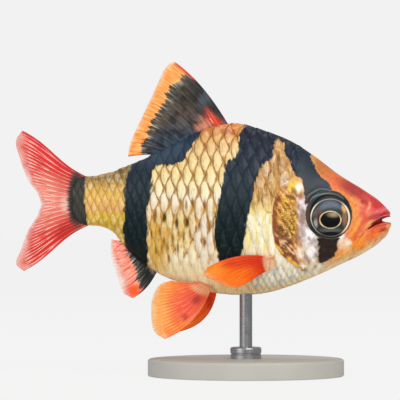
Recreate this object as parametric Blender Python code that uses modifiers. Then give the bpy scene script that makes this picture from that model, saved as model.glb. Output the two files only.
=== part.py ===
"""Tiger barb (Puntigrus tetrazona): a still, life-size model on a plain display stand.

The fish swims level along +X, its right flank towards -Y, and +Z is up. The origin lies on the
table, under the middle of the fish's length. Sizes below are millimetres. A place on the fish
is given as (s, h): s is the distance behind the snout's tip, and h the height above the long
axis, which is level and AXIS_HEIGHT above the table. The body is one loft through its sections,
parted at the mouth, the gill covers, the back of the head and the root of the tail. Fins are
sheets that fan out from a root line to a margin, and they meet the body at its surface.
"""

import math

import bmesh
import bpy
from mathutils import Matrix, Vector

MM = 0.001

# Driving sizes
TOTAL_LENGTH = 65.0
AXIS_HEIGHT = 28.25
GAP = 0.33
FIN_THICKNESS = 0.56
FIN_ROOT_DEPTH = 0.9
SIDE_FIN_ROOT_BACK = 0.3
GILL_COVER_THICKNESS = 1.2
CORE_SPAN = (8.0, 26.0)

# Body loft
STATIONS = 46
SIDES = 28
BODY_END = 55.6
BACK_SHARPNESS = 1.22
BELLY_SHARPNESS = 0.98
CUTTER_HALF_DEPTH = 14.0

# Line of the back, from the upper lip over the nape and the dorsal fin to the tail
BACK = (
    (0.0, -0.45), (0.5, 0.5), (1.6, 1.73), (4.7, 4.0), (8.9, 6.6), (13.0, 9.7), (17.2, 12.45),
    (22.0, 14.35), (27.6, 15.6), (31.0, 15.0), (36.0, 12.8), (41.6, 10.05), (46.0, 8.05),
    (51.5, 6.4), (53.4, 6.2), (54.8, 5.4), (55.6, 4.1),
)
# Line of the chin, chest and belly, up the base of the anal fin to the tail
BELLY = (
    (0.0, -1.9), (0.5, -3.4), (1.6, -4.7), (4.7, -6.95), (8.9, -9.0), (13.0, -10.9),
    (17.2, -12.6), (21.4, -13.85), (26.5, -14.25), (31.0, -13.8), (36.0, -12.25), (40.0, -10.75),
    (43.2, -8.45), (46.3, -5.6), (48.4, -3.2), (50.5, -2.3), (52.6, -2.1), (54.6, -1.2),
    (55.6, 0.2),
)
# Half the body's width, seen from above
HALF_WIDTH = (
    (0.0, 0.75), (0.5, 1.45), (1.6, 2.1), (4.7, 3.0), (8.0, 3.75), (10.7, 4.2), (15.0, 4.95),
    (20.0, 5.65), (25.5, 6.1), (30.0, 6.0), (35.0, 5.3), (40.0, 4.2), (45.0, 3.0), (50.0, 1.95),
    (53.0, 1.45), (54.6, 0.95), (55.6, 0.45),
)
# Height at which the body is widest
WIDEST = ((0.0, -1.1), (5.0, -1.6), (12.0, -1.6), (20.0, -1.2), (28.0, -0.6), (36.0, 0.3),
          (42.0, 1.3), (48.0, 2.1), (55.6, 2.15))

# Mouth, slightly open: the roof and the floor of the gape, and the line behind the lower jaw
GAPE_ROOF = ((-1.0, -0.6), (0.6, -0.7), (1.6, -1.05), (4.4, -2.75))
GAPE_FLOOR = ((-1.0, -1.62), (0.5, -1.58), (1.3, -1.8), (2.7, -2.35), (4.1, -2.98))
JAW_HINGE = (4.1, -2.98)
JAW_CHIN = (7.9, -10.5)

# Rear edge of the head, down the nape and round the gill cover
NAPE_EDGE = ((13.9, 18.0), (15.0, 11.5), (15.7, 8.6), (16.9, 6.3))
GILL_EDGE = ((16.9, 6.3), (19.2, 4.6), (20.5, 2.2), (20.8, -1.4), (20.4, -4.6), (19.2, -7.0),
             (17.2, -8.9), (14.8, -10.1))
THROAT_EDGE = ((14.8, -10.1), (13.6, -16.0))
# Front edge of the gill cover, behind the cheek
CHEEK_EDGE = ((14.2, -9.8), (13.7, -8.0), (14.6, -5.0), (15.1, -1.6), (15.2, 2.0), (15.5, 5.4),
              (16.6, 5.9))
TAIL_ROOT = ((41.9, 18.0), (44.4, 8.0), (45.3, 2.0), (45.2, -6.0), (44.0, -14.0))

# Eye: a ball whose widest ring lies just under the head's surface, with a shallow cornea outside
# and a deeper half inside, turned forwards and up with the head
EYE_PLACE = (10.65, -0.55)
EYE_RADIUS = 3.6
EYE_CORNEA_DEPTH = 0.95
EYE_INNER_DEPTH = 2.9
EYE_RING_OUT = 3.75
EYE_TOE_IN = math.radians(11.0)
EYE_TILT = math.radians(4.0)

# Stand
BASE_RADIUS = 17.0
BASE_HEIGHT = 3.0
BASE_EDGE = 0.45
ROD_RADIUS = 1.1
ROD_PLACE = 25.2
ROD_SOCKET_FLOOR = 1.0
COLLAR_OUTER_RADIUS = 2.7
COLLAR_HEIGHT = 1.7

# Fins: the root line and the margin run from the first ray to the last, and the bow is how far
# the first and the last ray bend away from a straight line, as an offset of their middle
DORSAL = {
    "root": ((28.4, 15.6), (31.5, 14.9), (36.0, 12.8), (41.5, 10.1)),
    "margin": ((37.4, 26.2), (39.3, 25.0), (41.2, 20.7), (43.1, 16.3), (45.0, 13.2),
               (45.6, 9.75)),
    "bow": ((-0.1, 1.0), (0.0, 0.1)),
    "rays": 16, "rows": 7,
}
ANAL = {
    "root": ((40.7, -10.35), (43.2, -8.4), (47.0, -4.75)),
    "margin": ((44.9, -14.8), (46.3, -14.1), (47.5, -11.2), (48.6, -7.4), (48.6, -4.5)),
    "bow": ((-0.25, -0.5), (0.0, -0.1)),
    "rays": 12, "rows": 6,
}
CAUDAL = {
    "root": ((52.9, 6.35), (54.9, 5.3), (55.6, 2.15), (54.8, -1.1), (52.5, -2.15)),
    "margin": ((63.9, 14.3), (64.95, 12.9), (64.3, 9.2), (62.9, 5.6), (61.1, 2.9), (60.75, 1.5),
               (61.2, 0.0), (63.0, -3.1), (64.2, -6.3), (64.95, -9.0), (63.7, -10.1)),
    "bow": ((0.1, 0.0), (0.1, 0.1)),
    "rays": 24, "rows": 6,
}
PECTORAL = {
    "root": ((21.6, -7.5), (21.9, -8.7), (21.8, -9.9)),
    "margin": ((31.9, -9.5), (32.5, -10.4), (30.6, -11.6), (28.2, -12.7), (26.2, -12.6),
               (24.2, -11.3)),
    "bow": ((0.0, 0.35), (0.0, -0.05)),
    "rays": 11, "rows": 7,
}
PELVIC_NEAR = {
    "root": ((31.3, -13.2), (32.2, -12.5), (33.2, -11.9)),
    "margin": ((39.2, -21.6), (40.8, -20.6), (41.6, -17.3), (41.3, -14.4), (40.0, -12.2),
               (38.0, -11.6)),
    "bow": ((-0.9, -1.0), (0.0, 0.25)),
    "rays": 12, "rows": 7,
}
PELVIC_FAR = {
    "root": ((30.2, -13.5), (31.3, -12.8), (32.4, -12.1)),
    "margin": ((36.9, -20.8), (38.6, -20.1), (39.8, -17.4), (39.9, -15.0), (38.9, -12.7),
               (37.2, -12.0)),
    "bow": ((-1.25, -1.2), (0.0, 0.25)),
    "rays": 12, "rows": 7,
}
PECTORAL_SPLAY = (math.radians(13.0), math.radians(26.0))
PELVIC_SPLAY = (math.radians(20.0), math.radians(12.0))
PELVIC_ROOT_OUT = 2.1

# Colour, roughness and metallic value
FINISHES = {
    "head": ((0.78, 0.24, 0.08), 0.35, 0.0),
    "gill": ((0.76, 0.60, 0.36), 0.30, 0.1),
    "body": ((0.80, 0.62, 0.30), 0.35, 0.1),
    "fin": ((0.86, 0.20, 0.06), 0.45, 0.0),
    "eye": ((0.60, 0.55, 0.42), 0.08, 0.0),
    "base": ((0.80, 0.79, 0.76), 0.60, 0.0),
    "rod": ((0.62, 0.62, 0.62), 0.28, 1.0),
}


def spline_value(knots, at):
    """Height of the smooth curve through the knots (position, height) at one position."""
    if at <= knots[0][0]:
        return knots[0][1]
    if at >= knots[-1][0]:
        return knots[-1][1]
    index = max(i for i, knot in enumerate(knots[:-1]) if knot[0] <= at)
    (x0, y0), (x1, y1) = knots[index], knots[index + 1]
    span = x1 - x0
    t = (at - x0) / span
    blend = (2 * t**3 - 3 * t**2 + 1, t**3 - 2 * t**2 + t, 3 * t**2 - 2 * t**3, t**3 - t**2)
    slopes = knot_slope(knots, index) * span, knot_slope(knots, index + 1) * span
    return blend[0] * y0 + blend[1] * slopes[0] + blend[2] * y1 + blend[3] * slopes[1]


def knot_slope(knots, index):
    """Slope of the smooth curve at one knot, from its neighbours."""
    if index == 0 or index == len(knots) - 1:
        near = 1 if index == 0 else index
        return (knots[near][1] - knots[near - 1][1]) / (knots[near][0] - knots[near - 1][0])
    before = knots[index][0] - knots[index - 1][0]
    after = knots[index + 1][0] - knots[index][0]
    rise_before = (knots[index][1] - knots[index - 1][1]) / before
    rise_after = (knots[index + 1][1] - knots[index][1]) / after
    return (rise_before * after + rise_after * before) / (before + after)


def along(points, t):
    """Point at the share t of the way along the smooth line through a few points."""
    lengths = [0.0]
    for first, second in zip(points, points[1:]):
        lengths.append(lengths[-1] + math.dist(first, second))
    at = t * lengths[-1]
    return tuple(spline_value(tuple(zip(lengths, axis)), at) for axis in zip(*points))


def smooth_line(points, steps):
    """Evenly spaced points on the smooth line through a few points."""
    return [along(points, step / steps) for step in range(steps + 1)]


def place(s, h, y=0.0):
    """World place, in metres, of a point s behind the snout, h above the axis and y to +Y."""
    return Vector((TOTAL_LENGTH / 2 - s, y, AXIS_HEIGHT + h)) * MM


def section_point(s, angle, grow=0.0):
    """Point (y, h) of the body's section at s, at an angle up from its widest level."""
    middle = spline_value(WIDEST, s)
    side, rise = math.cos(angle), math.sin(angle)
    if rise >= 0.0:
        reach, sharpness = spline_value(BACK, s) - middle + grow, BACK_SHARPNESS
    else:
        reach, sharpness = middle - spline_value(BELLY, s) + grow, BELLY_SHARPNESS
    width = spline_value(HALF_WIDTH, s) + grow
    return math.copysign(width * abs(side) ** sharpness, side), middle + reach * rise


def flank(s, h):
    """Half the body's width at one place in the side view, zero outside the outline."""
    middle = spline_value(WIDEST, s)
    if h >= middle:
        share, sharpness = (h - middle) / (spline_value(BACK, s) - middle), BACK_SHARPNESS
    else:
        share, sharpness = (middle - h) / (middle - spline_value(BELLY, s)), BELLY_SHARPNESS
    return spline_value(HALF_WIDTH, s) * max(0.0, 1.0 - share * share) ** (sharpness / 2)


def finish(name):
    """Principled material of one of the finishes, made once."""
    material = bpy.data.materials.get(name)
    if material:
        return material
    colour, roughness, metallic = FINISHES[name]
    material = bpy.data.materials.new(name)
    material.use_nodes = True
    shader = material.node_tree.nodes["Principled BSDF"]
    shader.inputs["Base Color"].default_value = (*colour, 1.0)
    shader.inputs["Roughness"].default_value = roughness
    shader.inputs["Metallic"].default_value = metallic
    material.diffuse_color = (*colour, 1.0)
    return material


def collection(name):
    """Collection of that name, linked to the scene."""
    group = bpy.data.collections.get(name) or bpy.data.collections.new(name)
    if name not in bpy.context.scene.collection.children:
        bpy.context.scene.collection.children.link(group)
    return group


def add_object(name, mesh, finish_name=None):
    """Object in the barb's collection, or among the cutters where it has no finish."""
    thing = bpy.data.objects.new(name, mesh)
    if finish_name:
        collection("tiger_barb").objects.link(thing)
        mesh.materials.clear()
        mesh.materials.append(finish(finish_name))
    else:
        collection("cutters").objects.link(thing)
        thing.hide_render = True
        thing.display_type = "WIRE"
    return thing


def cut(thing, cutter, operation="DIFFERENCE"):
    """Boolean of one object with a cutter."""
    modifier = thing.modifiers.new(operation.lower(), "BOOLEAN")
    modifier.operation = operation
    modifier.solver = "EXACT"
    modifier.object = cutter


def body_mesh(name, grow=0.0, first=0.0, last=BODY_END):
    """Closed loft through the body's sections, a little larger or smaller if asked."""
    ends = (first - grow, last + grow)
    shape = bmesh.new()
    rings = []
    for station in range(STATIONS + 1):
        share = station / STATIONS
        eased = share - 0.75 * math.sin(2 * math.pi * share) / (2 * math.pi)
        s = ends[0] + (ends[1] - ends[0]) * eased
        inside = min(max(s, first), last)
        ring = []
        for side in range(SIDES):
            y, h = section_point(inside, 2 * math.pi * side / SIDES, grow)
            ring.append(shape.verts.new(place(s, h, y)))
        rings.append(ring)
    for ring, following in zip(rings, rings[1:]):
        for side in range(SIDES):
            after = (side + 1) % SIDES
            shape.faces.new((ring[side], ring[after], following[after], following[side]))
    shape.faces.new(reversed(rings[0]))
    shape.faces.new(rings[-1])
    bmesh.ops.recalc_face_normals(shape, faces=shape.faces)
    mesh = bpy.data.meshes.new(name)
    shape.to_mesh(mesh)
    shape.free()
    mesh.shade_smooth()
    return mesh


def core_mesh(name, depth):
    """Closed loft of the stretch under the gill covers, that deep inside the surface."""
    return body_mesh(name, -depth, *CORE_SPAN)


def outline_block(name, outline, half_depth=CUTTER_HALF_DEPTH, out=0.0):
    """Cutter with a flat outline in the side view, through the fish from side to side."""
    curve = bpy.data.curves.new(name, "CURVE")
    curve.dimensions = "2D"
    curve.fill_mode = "BOTH"
    curve.extrude = half_depth * MM
    spline = curve.splines.new("POLY")
    spline.points.add(len(outline) - 1)
    spline.use_cyclic_u = True
    for point, (s, h) in zip(spline.points, outline):
        spot = place(s, h)
        point.co = (spot.x, spot.z, 0.0, 1.0)
    drawn = bpy.data.objects.new(name, curve)
    bpy.context.scene.collection.objects.link(drawn)
    bpy.context.view_layer.update()
    mesh = bpy.data.meshes.new_from_object(drawn.evaluated_get(bpy.context.evaluated_depsgraph_get()))
    bpy.data.objects.remove(drawn)
    shape = bmesh.new()
    shape.from_mesh(mesh)
    bmesh.ops.remove_doubles(shape, verts=shape.verts, dist=0.00001)
    upright = Matrix.Translation((0.0, out * MM, 0.0)) @ Matrix.Rotation(math.pi / 2, 4, "X")
    bmesh.ops.transform(shape, matrix=upright, verts=shape.verts)
    bmesh.ops.recalc_face_normals(shape, faces=shape.faces)
    shape.to_mesh(mesh)
    shape.free()
    return add_object(name, mesh)


def shifted(line, step):
    """A side-view line moved along the fish."""
    return [(s + step, h) for s, h in line]


def head_rear_line(step=0.0):
    """Rear edge of the head from the nape down to the throat, moved back by a step."""
    gill = smooth_line(GILL_EDGE, 14)
    return shifted([*NAPE_EDGE[:-1], *gill, THROAT_EDGE[1]], step)


def build_head(body, inner, eye_cutters):
    """Head above the mouth, without the lower jaw, the gill covers and the eyeballs."""
    direction = Vector(JAW_CHIN) - Vector(JAW_HINGE)
    aside = Vector((-direction.y, direction.x)).normalized() * GAP
    hinge, chin = Vector(JAW_HINGE) + aside, Vector(JAW_CHIN) + aside
    outline = [*GAPE_ROOF, tuple(hinge), tuple(chin), (chin.x, -16.0)]
    outline += list(reversed(head_rear_line())) + [(-1.0, 15.0)]
    head = add_object("head", body.data.copy(), "head")
    cut(head, outline_block("head_block", outline), "INTERSECT")
    opening = outline_block("gill_opening", gill_cover_outline(GAP, 3.0))
    cut(opening, inner)
    cut(head, opening)
    for cutter in eye_cutters:
        cut(head, cutter)


def build_lower_jaw(body):
    """Lower jaw, from the lower lip back to its hinge under the cheek."""
    outline = [*GAPE_FLOOR, JAW_CHIN, (-1.0, JAW_CHIN[1])]
    jaw = add_object("lower_jaw", body.data.copy(), "head")
    cut(jaw, outline_block("jaw_block", outline), "INTERSECT")


def gill_cover_outline(grow=0.0, past_edge=0.0):
    """Gill cover in the side view, grown in front and run out past its rear edge if asked."""
    rear = smooth_line(GILL_EDGE, 14)
    front = smooth_line(CHEEK_EDGE, 12)
    if past_edge:
        rear = [(s + past_edge, h) for s, h in rear]
        rear[0] = (rear[0][0], rear[0][1] + grow)
        rear[-1] = (rear[-1][0], rear[-1][1] - grow)
    front = [(s - grow, h) for s, h in front]
    front[0] = (front[0][0], front[0][1] - grow)
    front[-1] = (front[-1][0], front[-1][1] + grow)
    return rear + front


def build_gill_covers(body):
    """Bony covers over the gills, thin shells that follow the head's surface."""
    under = add_object("under_gill_cover", core_mesh("under_gill_cover", GILL_COVER_THICKNESS))
    for name, side in (("gill_cover_right", -1), ("gill_cover_left", 1)):
        cover = add_object(name, body.data.copy(), "gill")
        half = CUTTER_HALF_DEPTH / 2
        block = outline_block(f"{name}_block", gill_cover_outline(), half, side * (half + 1.0))
        cut(cover, block, "INTERSECT")
        cut(cover, under)


def build_trunk(body):
    """Trunk from behind the head to the root of the tail."""
    front = head_rear_line(GAP)
    rear = smooth_line(TAIL_ROOT, 8)
    trunk = add_object("trunk", body.data.copy(), "body")
    cut(trunk, outline_block("trunk_block", front + list(reversed(rear))), "INTERSECT")


def build_tail_stalk(body):
    """Tail stalk, behind the dorsal and anal fins."""
    front = smooth_line(shifted(TAIL_ROOT, GAP), 8)
    stalk = add_object("tail_stalk", body.data.copy(), "body")
    cut(stalk, outline_block("stalk_block", front + [(60.0, -14.0), (60.0, 14.0)]), "INTERSECT")


def eye_mesh(name, grow=0.0, side=1):
    """Eyeball in its place, a little larger if asked."""
    shape = bmesh.new()
    bmesh.ops.create_uvsphere(shape, u_segments=22, v_segments=12, radius=MM)
    for vertex in shape.verts:
        depth = EYE_CORNEA_DEPTH if vertex.co.z > 0.0 else EYE_INNER_DEPTH
        vertex.co.x *= EYE_RADIUS + grow
        vertex.co.y *= EYE_RADIUS + grow
        vertex.co.z *= depth + grow
    s, h = EYE_PLACE
    outward = Matrix.Rotation(-side * (math.pi / 2 - EYE_TILT), 4, "X")
    toed_in = Matrix.Rotation(-side * EYE_TOE_IN, 4, "Z")
    spot = Matrix.Translation(place(s, h, side * EYE_RING_OUT))
    bmesh.ops.transform(shape, matrix=spot @ toed_in @ outward, verts=shape.verts)
    mesh = bpy.data.meshes.new(name)
    shape.to_mesh(mesh)
    shape.free()
    mesh.shade_smooth()
    return mesh


def build_eyes():
    """The two eyeballs, and a slightly larger cutter for the socket of each."""
    cutters = []
    for name, side in (("eye_right", -1), ("eye_left", 1)):
        add_object(name, eye_mesh(name, 0.0, side), "eye")
        cutters.append(add_object(f"{name}_socket", eye_mesh(f"{name}_socket", GAP, side)))
    return cutters


def fan_point(fin, u, v):
    """Point (s, h) of a fin at the share u from first to last ray and v from root to margin."""
    root, margin = along(fin["root"], u), along(fin["margin"], u)
    first, last = fin["bow"]
    bend = 4.0 * v * (1.0 - v)
    return tuple(r + (m - r) * v + bend * ((1.0 - u) * a + u * b)
                 for r, m, a, b in zip(root, margin, first, last))


def fin_root_sunk(fin, u, v, depth):
    """Point of a fin, with its root row let back along the rays by a depth."""
    s, h = fan_point(fin, u, max(v, 0.0))
    if v >= 0.0:
        return s, h
    back = Vector((s, h)) - Vector(fan_point(fin, u, 0.05))
    sunk = Vector((s, h)) + back.normalized() * depth
    return sunk.x, sunk.y


def build_fin(name, fin, swollen, lay=None):
    """A fin as a sheet with thickness, trimmed where it meets the body."""
    shape = bmesh.new()
    rows = fin["rows"] + 1
    bmesh.ops.create_grid(shape, x_segments=fin["rays"], y_segments=rows, size=1.0)
    for vertex in shape.verts:
        u = (vertex.co.x + 1.0) / 2.0
        row = round((vertex.co.y + 1.0) / 2.0 * rows)
        v = (row - 1) / fin["rows"]
        s, h = fin_root_sunk(fin, u, v, FIN_ROOT_DEPTH if lay is None else SIDE_FIN_ROOT_BACK)
        vertex.co = place(s, h, lay(u, v) if lay else 0.0)
    mesh = bpy.data.meshes.new(name)
    shape.to_mesh(mesh)
    shape.free()
    sheet = add_object(name, mesh, "fin")
    wall = sheet.modifiers.new("thickness", "SOLIDIFY")
    wall.thickness = FIN_THICKNESS * MM
    wall.offset = 0.0
    cut(sheet, swollen)


def side_fin_lay(fin, side, root_out, splay):
    """How far out of the middle plane a paired fin lies, opening away from the body."""
    def lay(u, v):
        s, h = fan_point(fin, u, max(v, 0.0))
        root_s, root_h = along(fin["root"], u)
        reach = math.hypot(s - root_s, h - root_h)
        opening = splay[0] + (splay[1] - splay[0]) * u
        start = root_out(root_s, root_h)
        if v < 0.0:
            return side * (start - FIN_ROOT_DEPTH)
        return side * (start + reach * math.tan(opening))
    return lay


def build_fins(swollen):
    """The median fins and both pairs of side fins."""
    for name, fin in (("dorsal_fin", DORSAL), ("anal_fin", ANAL), ("caudal_fin", CAUDAL)):
        build_fin(name, fin, swollen)
    for name, side in (("pectoral_fin_right", -1), ("pectoral_fin_left", 1)):
        build_fin(name, PECTORAL, swollen, side_fin_lay(PECTORAL, side, flank, PECTORAL_SPLAY))
    for name, side, fin in (("pelvic_fin_right", -1, PELVIC_NEAR), ("pelvic_fin_left", 1, PELVIC_FAR)):
        lay = side_fin_lay(fin, side, lambda s, h: PELVIC_ROOT_OUT, PELVIC_SPLAY)
        build_fin(name, fin, swollen, lay)


def round_bar(name, radius, low, high, sides, finish_name=None):
    """Upright cylinder on the rod's axis, between two heights above the table."""
    centre = Vector((TOTAL_LENGTH / 2 - ROD_PLACE, 0.0, (low + high) / 2)) * MM
    bpy.ops.mesh.primitive_cylinder_add(vertices=sides, radius=radius * MM, depth=(high - low) * MM,
                                        location=centre)
    made = bpy.context.object
    mesh = made.data
    bpy.data.objects.remove(made)
    bar = add_object(name, mesh, finish_name)
    bar.location = centre
    return bar


def build_stand(swollen):
    """Round base, the rod up to the belly and the collar that holds the rod."""
    base = round_bar("stand_base", BASE_RADIUS, 0.0, BASE_HEIGHT, 56, "base")
    edge = base.modifiers.new("edge", "BEVEL")
    edge.width = BASE_EDGE * MM
    edge.segments = 2
    edge.limit_method = "ANGLE"
    socket = round_bar("rod_socket", ROD_RADIUS + GAP, ROD_SOCKET_FLOOR, BASE_HEIGHT + 1.0, 24)
    cut(base, socket)
    belly = AXIS_HEIGHT + spline_value(BELLY, ROD_PLACE)
    rod = round_bar("stand_rod", ROD_RADIUS, ROD_SOCKET_FLOOR + GAP, belly + 0.5, 24, "rod")
    cut(rod, swollen)
    low, high = BASE_HEIGHT + GAP, BASE_HEIGHT + GAP + COLLAR_HEIGHT
    collar = round_bar("stand_collar", COLLAR_OUTER_RADIUS, low, high, 32, "rod")
    rim = collar.modifiers.new("rim", "BEVEL")
    rim.width = BASE_EDGE * MM
    rim.segments = 1
    rim.limit_method = "ANGLE"
    cut(collar, round_bar("collar_bore", ROD_RADIUS + GAP, low - 1.0, high + 1.0, 24))


def main():
    """Clears the scene and builds the fish and its stand."""
    for thing in list(bpy.data.objects):
        bpy.data.objects.remove(thing)
    body = add_object("body_shape", body_mesh("body_shape"))
    swollen = add_object("swollen_body", body_mesh("swollen_body", GAP))
    inner = add_object("gill_chamber", core_mesh("gill_chamber", GILL_COVER_THICKNESS + GAP))
    eye_cutters = build_eyes()
    build_head(body, inner, eye_cutters)
    build_lower_jaw(body)
    build_gill_covers(body)
    build_trunk(body)
    build_tail_stalk(body)
    build_fins(swollen)
    build_stand(swollen)


main()
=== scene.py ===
"""Looks of the tiger barb: a still, life-size museum model of the fish on a plain round display stand."""

import logging
import math
from collections.abc import Callable
from dataclasses import dataclass, field
from enum import Enum

import bmesh
import bpy
import numpy as np
from mathutils import Matrix, Vector


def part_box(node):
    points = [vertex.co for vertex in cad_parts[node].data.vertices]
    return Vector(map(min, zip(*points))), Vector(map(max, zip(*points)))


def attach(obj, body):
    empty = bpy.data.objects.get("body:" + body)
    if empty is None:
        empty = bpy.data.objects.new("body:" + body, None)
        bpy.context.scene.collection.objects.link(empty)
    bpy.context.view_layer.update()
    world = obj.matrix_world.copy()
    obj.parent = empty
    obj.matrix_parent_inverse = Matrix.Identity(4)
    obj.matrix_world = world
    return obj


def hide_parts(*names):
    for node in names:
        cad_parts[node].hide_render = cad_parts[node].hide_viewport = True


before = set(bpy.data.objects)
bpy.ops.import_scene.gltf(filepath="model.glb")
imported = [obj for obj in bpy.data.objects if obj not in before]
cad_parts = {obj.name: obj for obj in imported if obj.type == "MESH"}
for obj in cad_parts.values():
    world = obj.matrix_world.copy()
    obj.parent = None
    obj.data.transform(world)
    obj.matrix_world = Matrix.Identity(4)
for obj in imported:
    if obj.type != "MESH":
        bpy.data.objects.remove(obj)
log = logging.getLogger("tiger_barb")

MM = 0.001
TOTAL_LENGTH = 65.0
AXIS_HEIGHT = 28.25
PICTURE_PITCH = 65.0 / 375.0
SNOUT_COLUMN = 391.25
AXIS_ROW = 213.0
BODY = "root"

Array = np.ndarray
Pair = tuple[float, float]
Knots = tuple[Pair, ...]
Triple = tuple[float, float, float]
Run = tuple[tuple[float, Triple], ...]


class Side(Enum):
    """The two flanks of the fish: the right one faces the camera."""

    RIGHT = -1.0
    LEFT = 1.0


def side_place(column: float, row: float) -> Pair:
    """Turns a place on the side view, in picture columns and rows, into the fish's own millimetres."""
    return (SNOUT_COLUMN - column) * PICTURE_PITCH, (AXIS_ROW - row) * PICTURE_PITCH


def side_knots(*places: Pair) -> Knots:
    """Turns a run of picture places into knots of length against height, in millimetres."""
    return tuple(side_place(*place) for place in places)


def paint(red: float, green: float, blue: float) -> tuple[float, float, float, float]:
    """Turns an 8-bit display colour into the linear colour that a shader takes.

    Args:
        red: Red from 0 to 255.
        green: Green from 0 to 255.
        blue: Blue from 0 to 255.

    Returns:
        Linear red, green and blue, and an alpha of 1.
    """
    shares = [max(value, 0.0) / 255.0 for value in (red, green, blue)]
    linear = [v / 12.92 if v <= 0.04045 else ((v + 0.055) / 1.055) ** 2.4 for v in shares]
    return linear[0], linear[1], linear[2], 1.0


def smooth_curve(knots: Knots, at: Array | float) -> Array:
    """Reads the smooth curve through some knots.

    Args:
        knots: Pairs of place and value, in rising places.
        at: Places to read, held to the knots' range.

    Returns:
        The curve's value at each place.
    """
    xs = np.array([knot[0] for knot in knots])
    ys = np.array([knot[1] for knot in knots])
    steps = np.diff(xs)
    rises = np.diff(ys) / steps
    slopes = np.empty_like(ys)
    slopes[0], slopes[-1] = rises[0], rises[-1]
    slopes[1:-1] = (rises[:-1] * steps[1:] + rises[1:] * steps[:-1]) / (steps[:-1] + steps[1:])
    at = np.clip(np.asarray(at, dtype=float), xs[0], xs[-1])
    span = np.clip(np.searchsorted(xs, at, side="right") - 1, 0, len(xs) - 2)
    t = (at - xs[span]) / steps[span]
    early, late = slopes[span] * steps[span], slopes[span + 1] * steps[span]
    start, end = ys[span], ys[span + 1]
    return (
        start * (2 * t**3 - 3 * t**2 + 1)
        + early * (t**3 - 2 * t**2 + t)
        + end * (3 * t**2 - 2 * t**3)
        + late * (t**3 - t**2)
    )


def path_point(points: Knots, share: Array) -> Array:
    """Reads the smooth path through some points by its share of their chord length.

    Args:
        points: The path's points in order.
        share: Shares of the length, from 0 to 1.

    Returns:
        An array with two coordinates for each share.
    """
    places = np.array(points, dtype=float)
    lengths = np.concatenate([[0.0], np.cumsum(np.hypot(*np.diff(places, axis=0).T))])
    at = np.asarray(share) * lengths[-1]
    columns = [smooth_curve(tuple(zip(lengths, places[:, axis])), at) for axis in (0, 1)]
    return np.stack(columns, axis=-1)


def ease(value: Array, low: float, high: float) -> Array:
    """Rises smoothly from 0 at low to 1 at high, or falls where low is the higher."""
    t = np.clip((np.asarray(value, dtype=float) - low) / (high - low), 0.0, 1.0)
    return t * t * (3.0 - 2.0 * t)


def bell(value: Array, centre: float, width: float) -> Array:
    """Gives a soft bump of height 1 around a centre."""
    return np.exp(-(((np.asarray(value) - centre) / width) ** 2))


def signed_reach(length: Array, height: Array, line: Array) -> Array:
    """Measures how far places on the side view are from a line, with the line's left side positive.

    Args:
        length: Lengths from the snout in millimetres.
        height: Heights over the axis in millimetres.
        line: The line's points, one row each.

    Returns:
        Distances in millimetres, with a sign.
    """
    flat = np.stack([np.ravel(length), np.ravel(height)], axis=-1)
    best = np.full(len(flat), 1e9)
    sign = np.ones(len(flat))
    for start, end in zip(line[:-1], line[1:]):
        run = end - start
        offset = flat - start
        along = np.clip(offset @ run / (run @ run), 0.0, 1.0)
        away = np.hypot(*(offset - along[:, None] * run).T)
        turn = run[0] * offset[:, 1] - run[1] * offset[:, 0]
        closer = away < best
        best = np.where(closer, away, best)
        sign = np.where(closer, np.where(turn >= 0.0, 1.0, -1.0), sign)
    return (best * sign).reshape(np.shape(length))


def to_world(places: Array) -> Array:
    """Turns (length, out, height) in millimetres into world places in metres."""
    world = np.empty_like(places)
    world[..., 0] = (TOTAL_LENGTH / 2 - places[..., 0]) * MM
    world[..., 1] = places[..., 1] * MM
    world[..., 2] = (AXIS_HEIGHT + places[..., 2]) * MM
    return world


@dataclass
class Sheet:
    """A grid of places in the world, with numbers for its materials, that becomes one closed mesh."""

    name: str
    places: Array
    notes: dict[str, Array] = field(default_factory=dict)

    def build(self) -> bpy.types.Object:
        """Makes the grid with Blender's own operator, moves its points into place and closes its seams.

        Returns:
            The finished object, at the origin, with outward faces and smooth shading.
        """
        rows, columns = self.places.shape[:2]
        bm = bmesh.new()
        bmesh.ops.create_grid(bm, x_segments=columns - 1, y_segments=rows - 1, size=1.0)
        mesh = bpy.data.meshes.new(self.name)
        bm.to_mesh(mesh)
        bm.free()
        mesh.vertices.foreach_set("co", self.places.astype(np.float32).ravel())
        for note, values in self.notes.items():
            layer = mesh.attributes.new(note, "FLOAT_VECTOR", "POINT")
            layer.data.foreach_set("vector", values.astype(np.float32).ravel())
        bm = bmesh.new()
        bm.from_mesh(mesh)
        bmesh.ops.remove_doubles(bm, verts=bm.verts, dist=2e-7)
        bmesh.ops.dissolve_degenerate(bm, edges=bm.edges, dist=1e-8)
        bmesh.ops.recalc_face_normals(bm, faces=bm.faces)
        bm.to_mesh(mesh)
        bm.free()
        return placed(mesh)


def placed(mesh: bpy.types.Mesh, smooth: bool = True) -> bpy.types.Object:
    """Links a mesh as an object at the origin, with smooth or flat shading."""
    mesh.polygons.foreach_set("use_smooth", [smooth] * len(mesh.polygons))
    mesh.update()
    piece = bpy.data.objects.new(mesh.name, mesh)
    bpy.context.scene.collection.objects.link(piece)
    return piece


def wear(piece: bpy.types.Object, finish: bpy.types.Material) -> None:
    """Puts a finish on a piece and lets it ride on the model's body.

    Args:
        piece: The piece to dress.
        finish: Its material.
    """
    piece.data.materials.clear()
    piece.data.materials.append(finish)
    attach(piece, BODY)
    log.info("%s: %d faces", piece.name, len(piece.data.polygons))


# Node trees


def sign(operation: str, turned: bool = False) -> Callable:
    """Makes the method that stands for one sign between two flows, turned where the flow comes second."""

    def method(self: "Flow", other: "Value") -> "Flow":
        """Adds the sum as a node."""
        return self.bench.math(operation, *((other, self) if turned else (self, other)))

    return method


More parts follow.
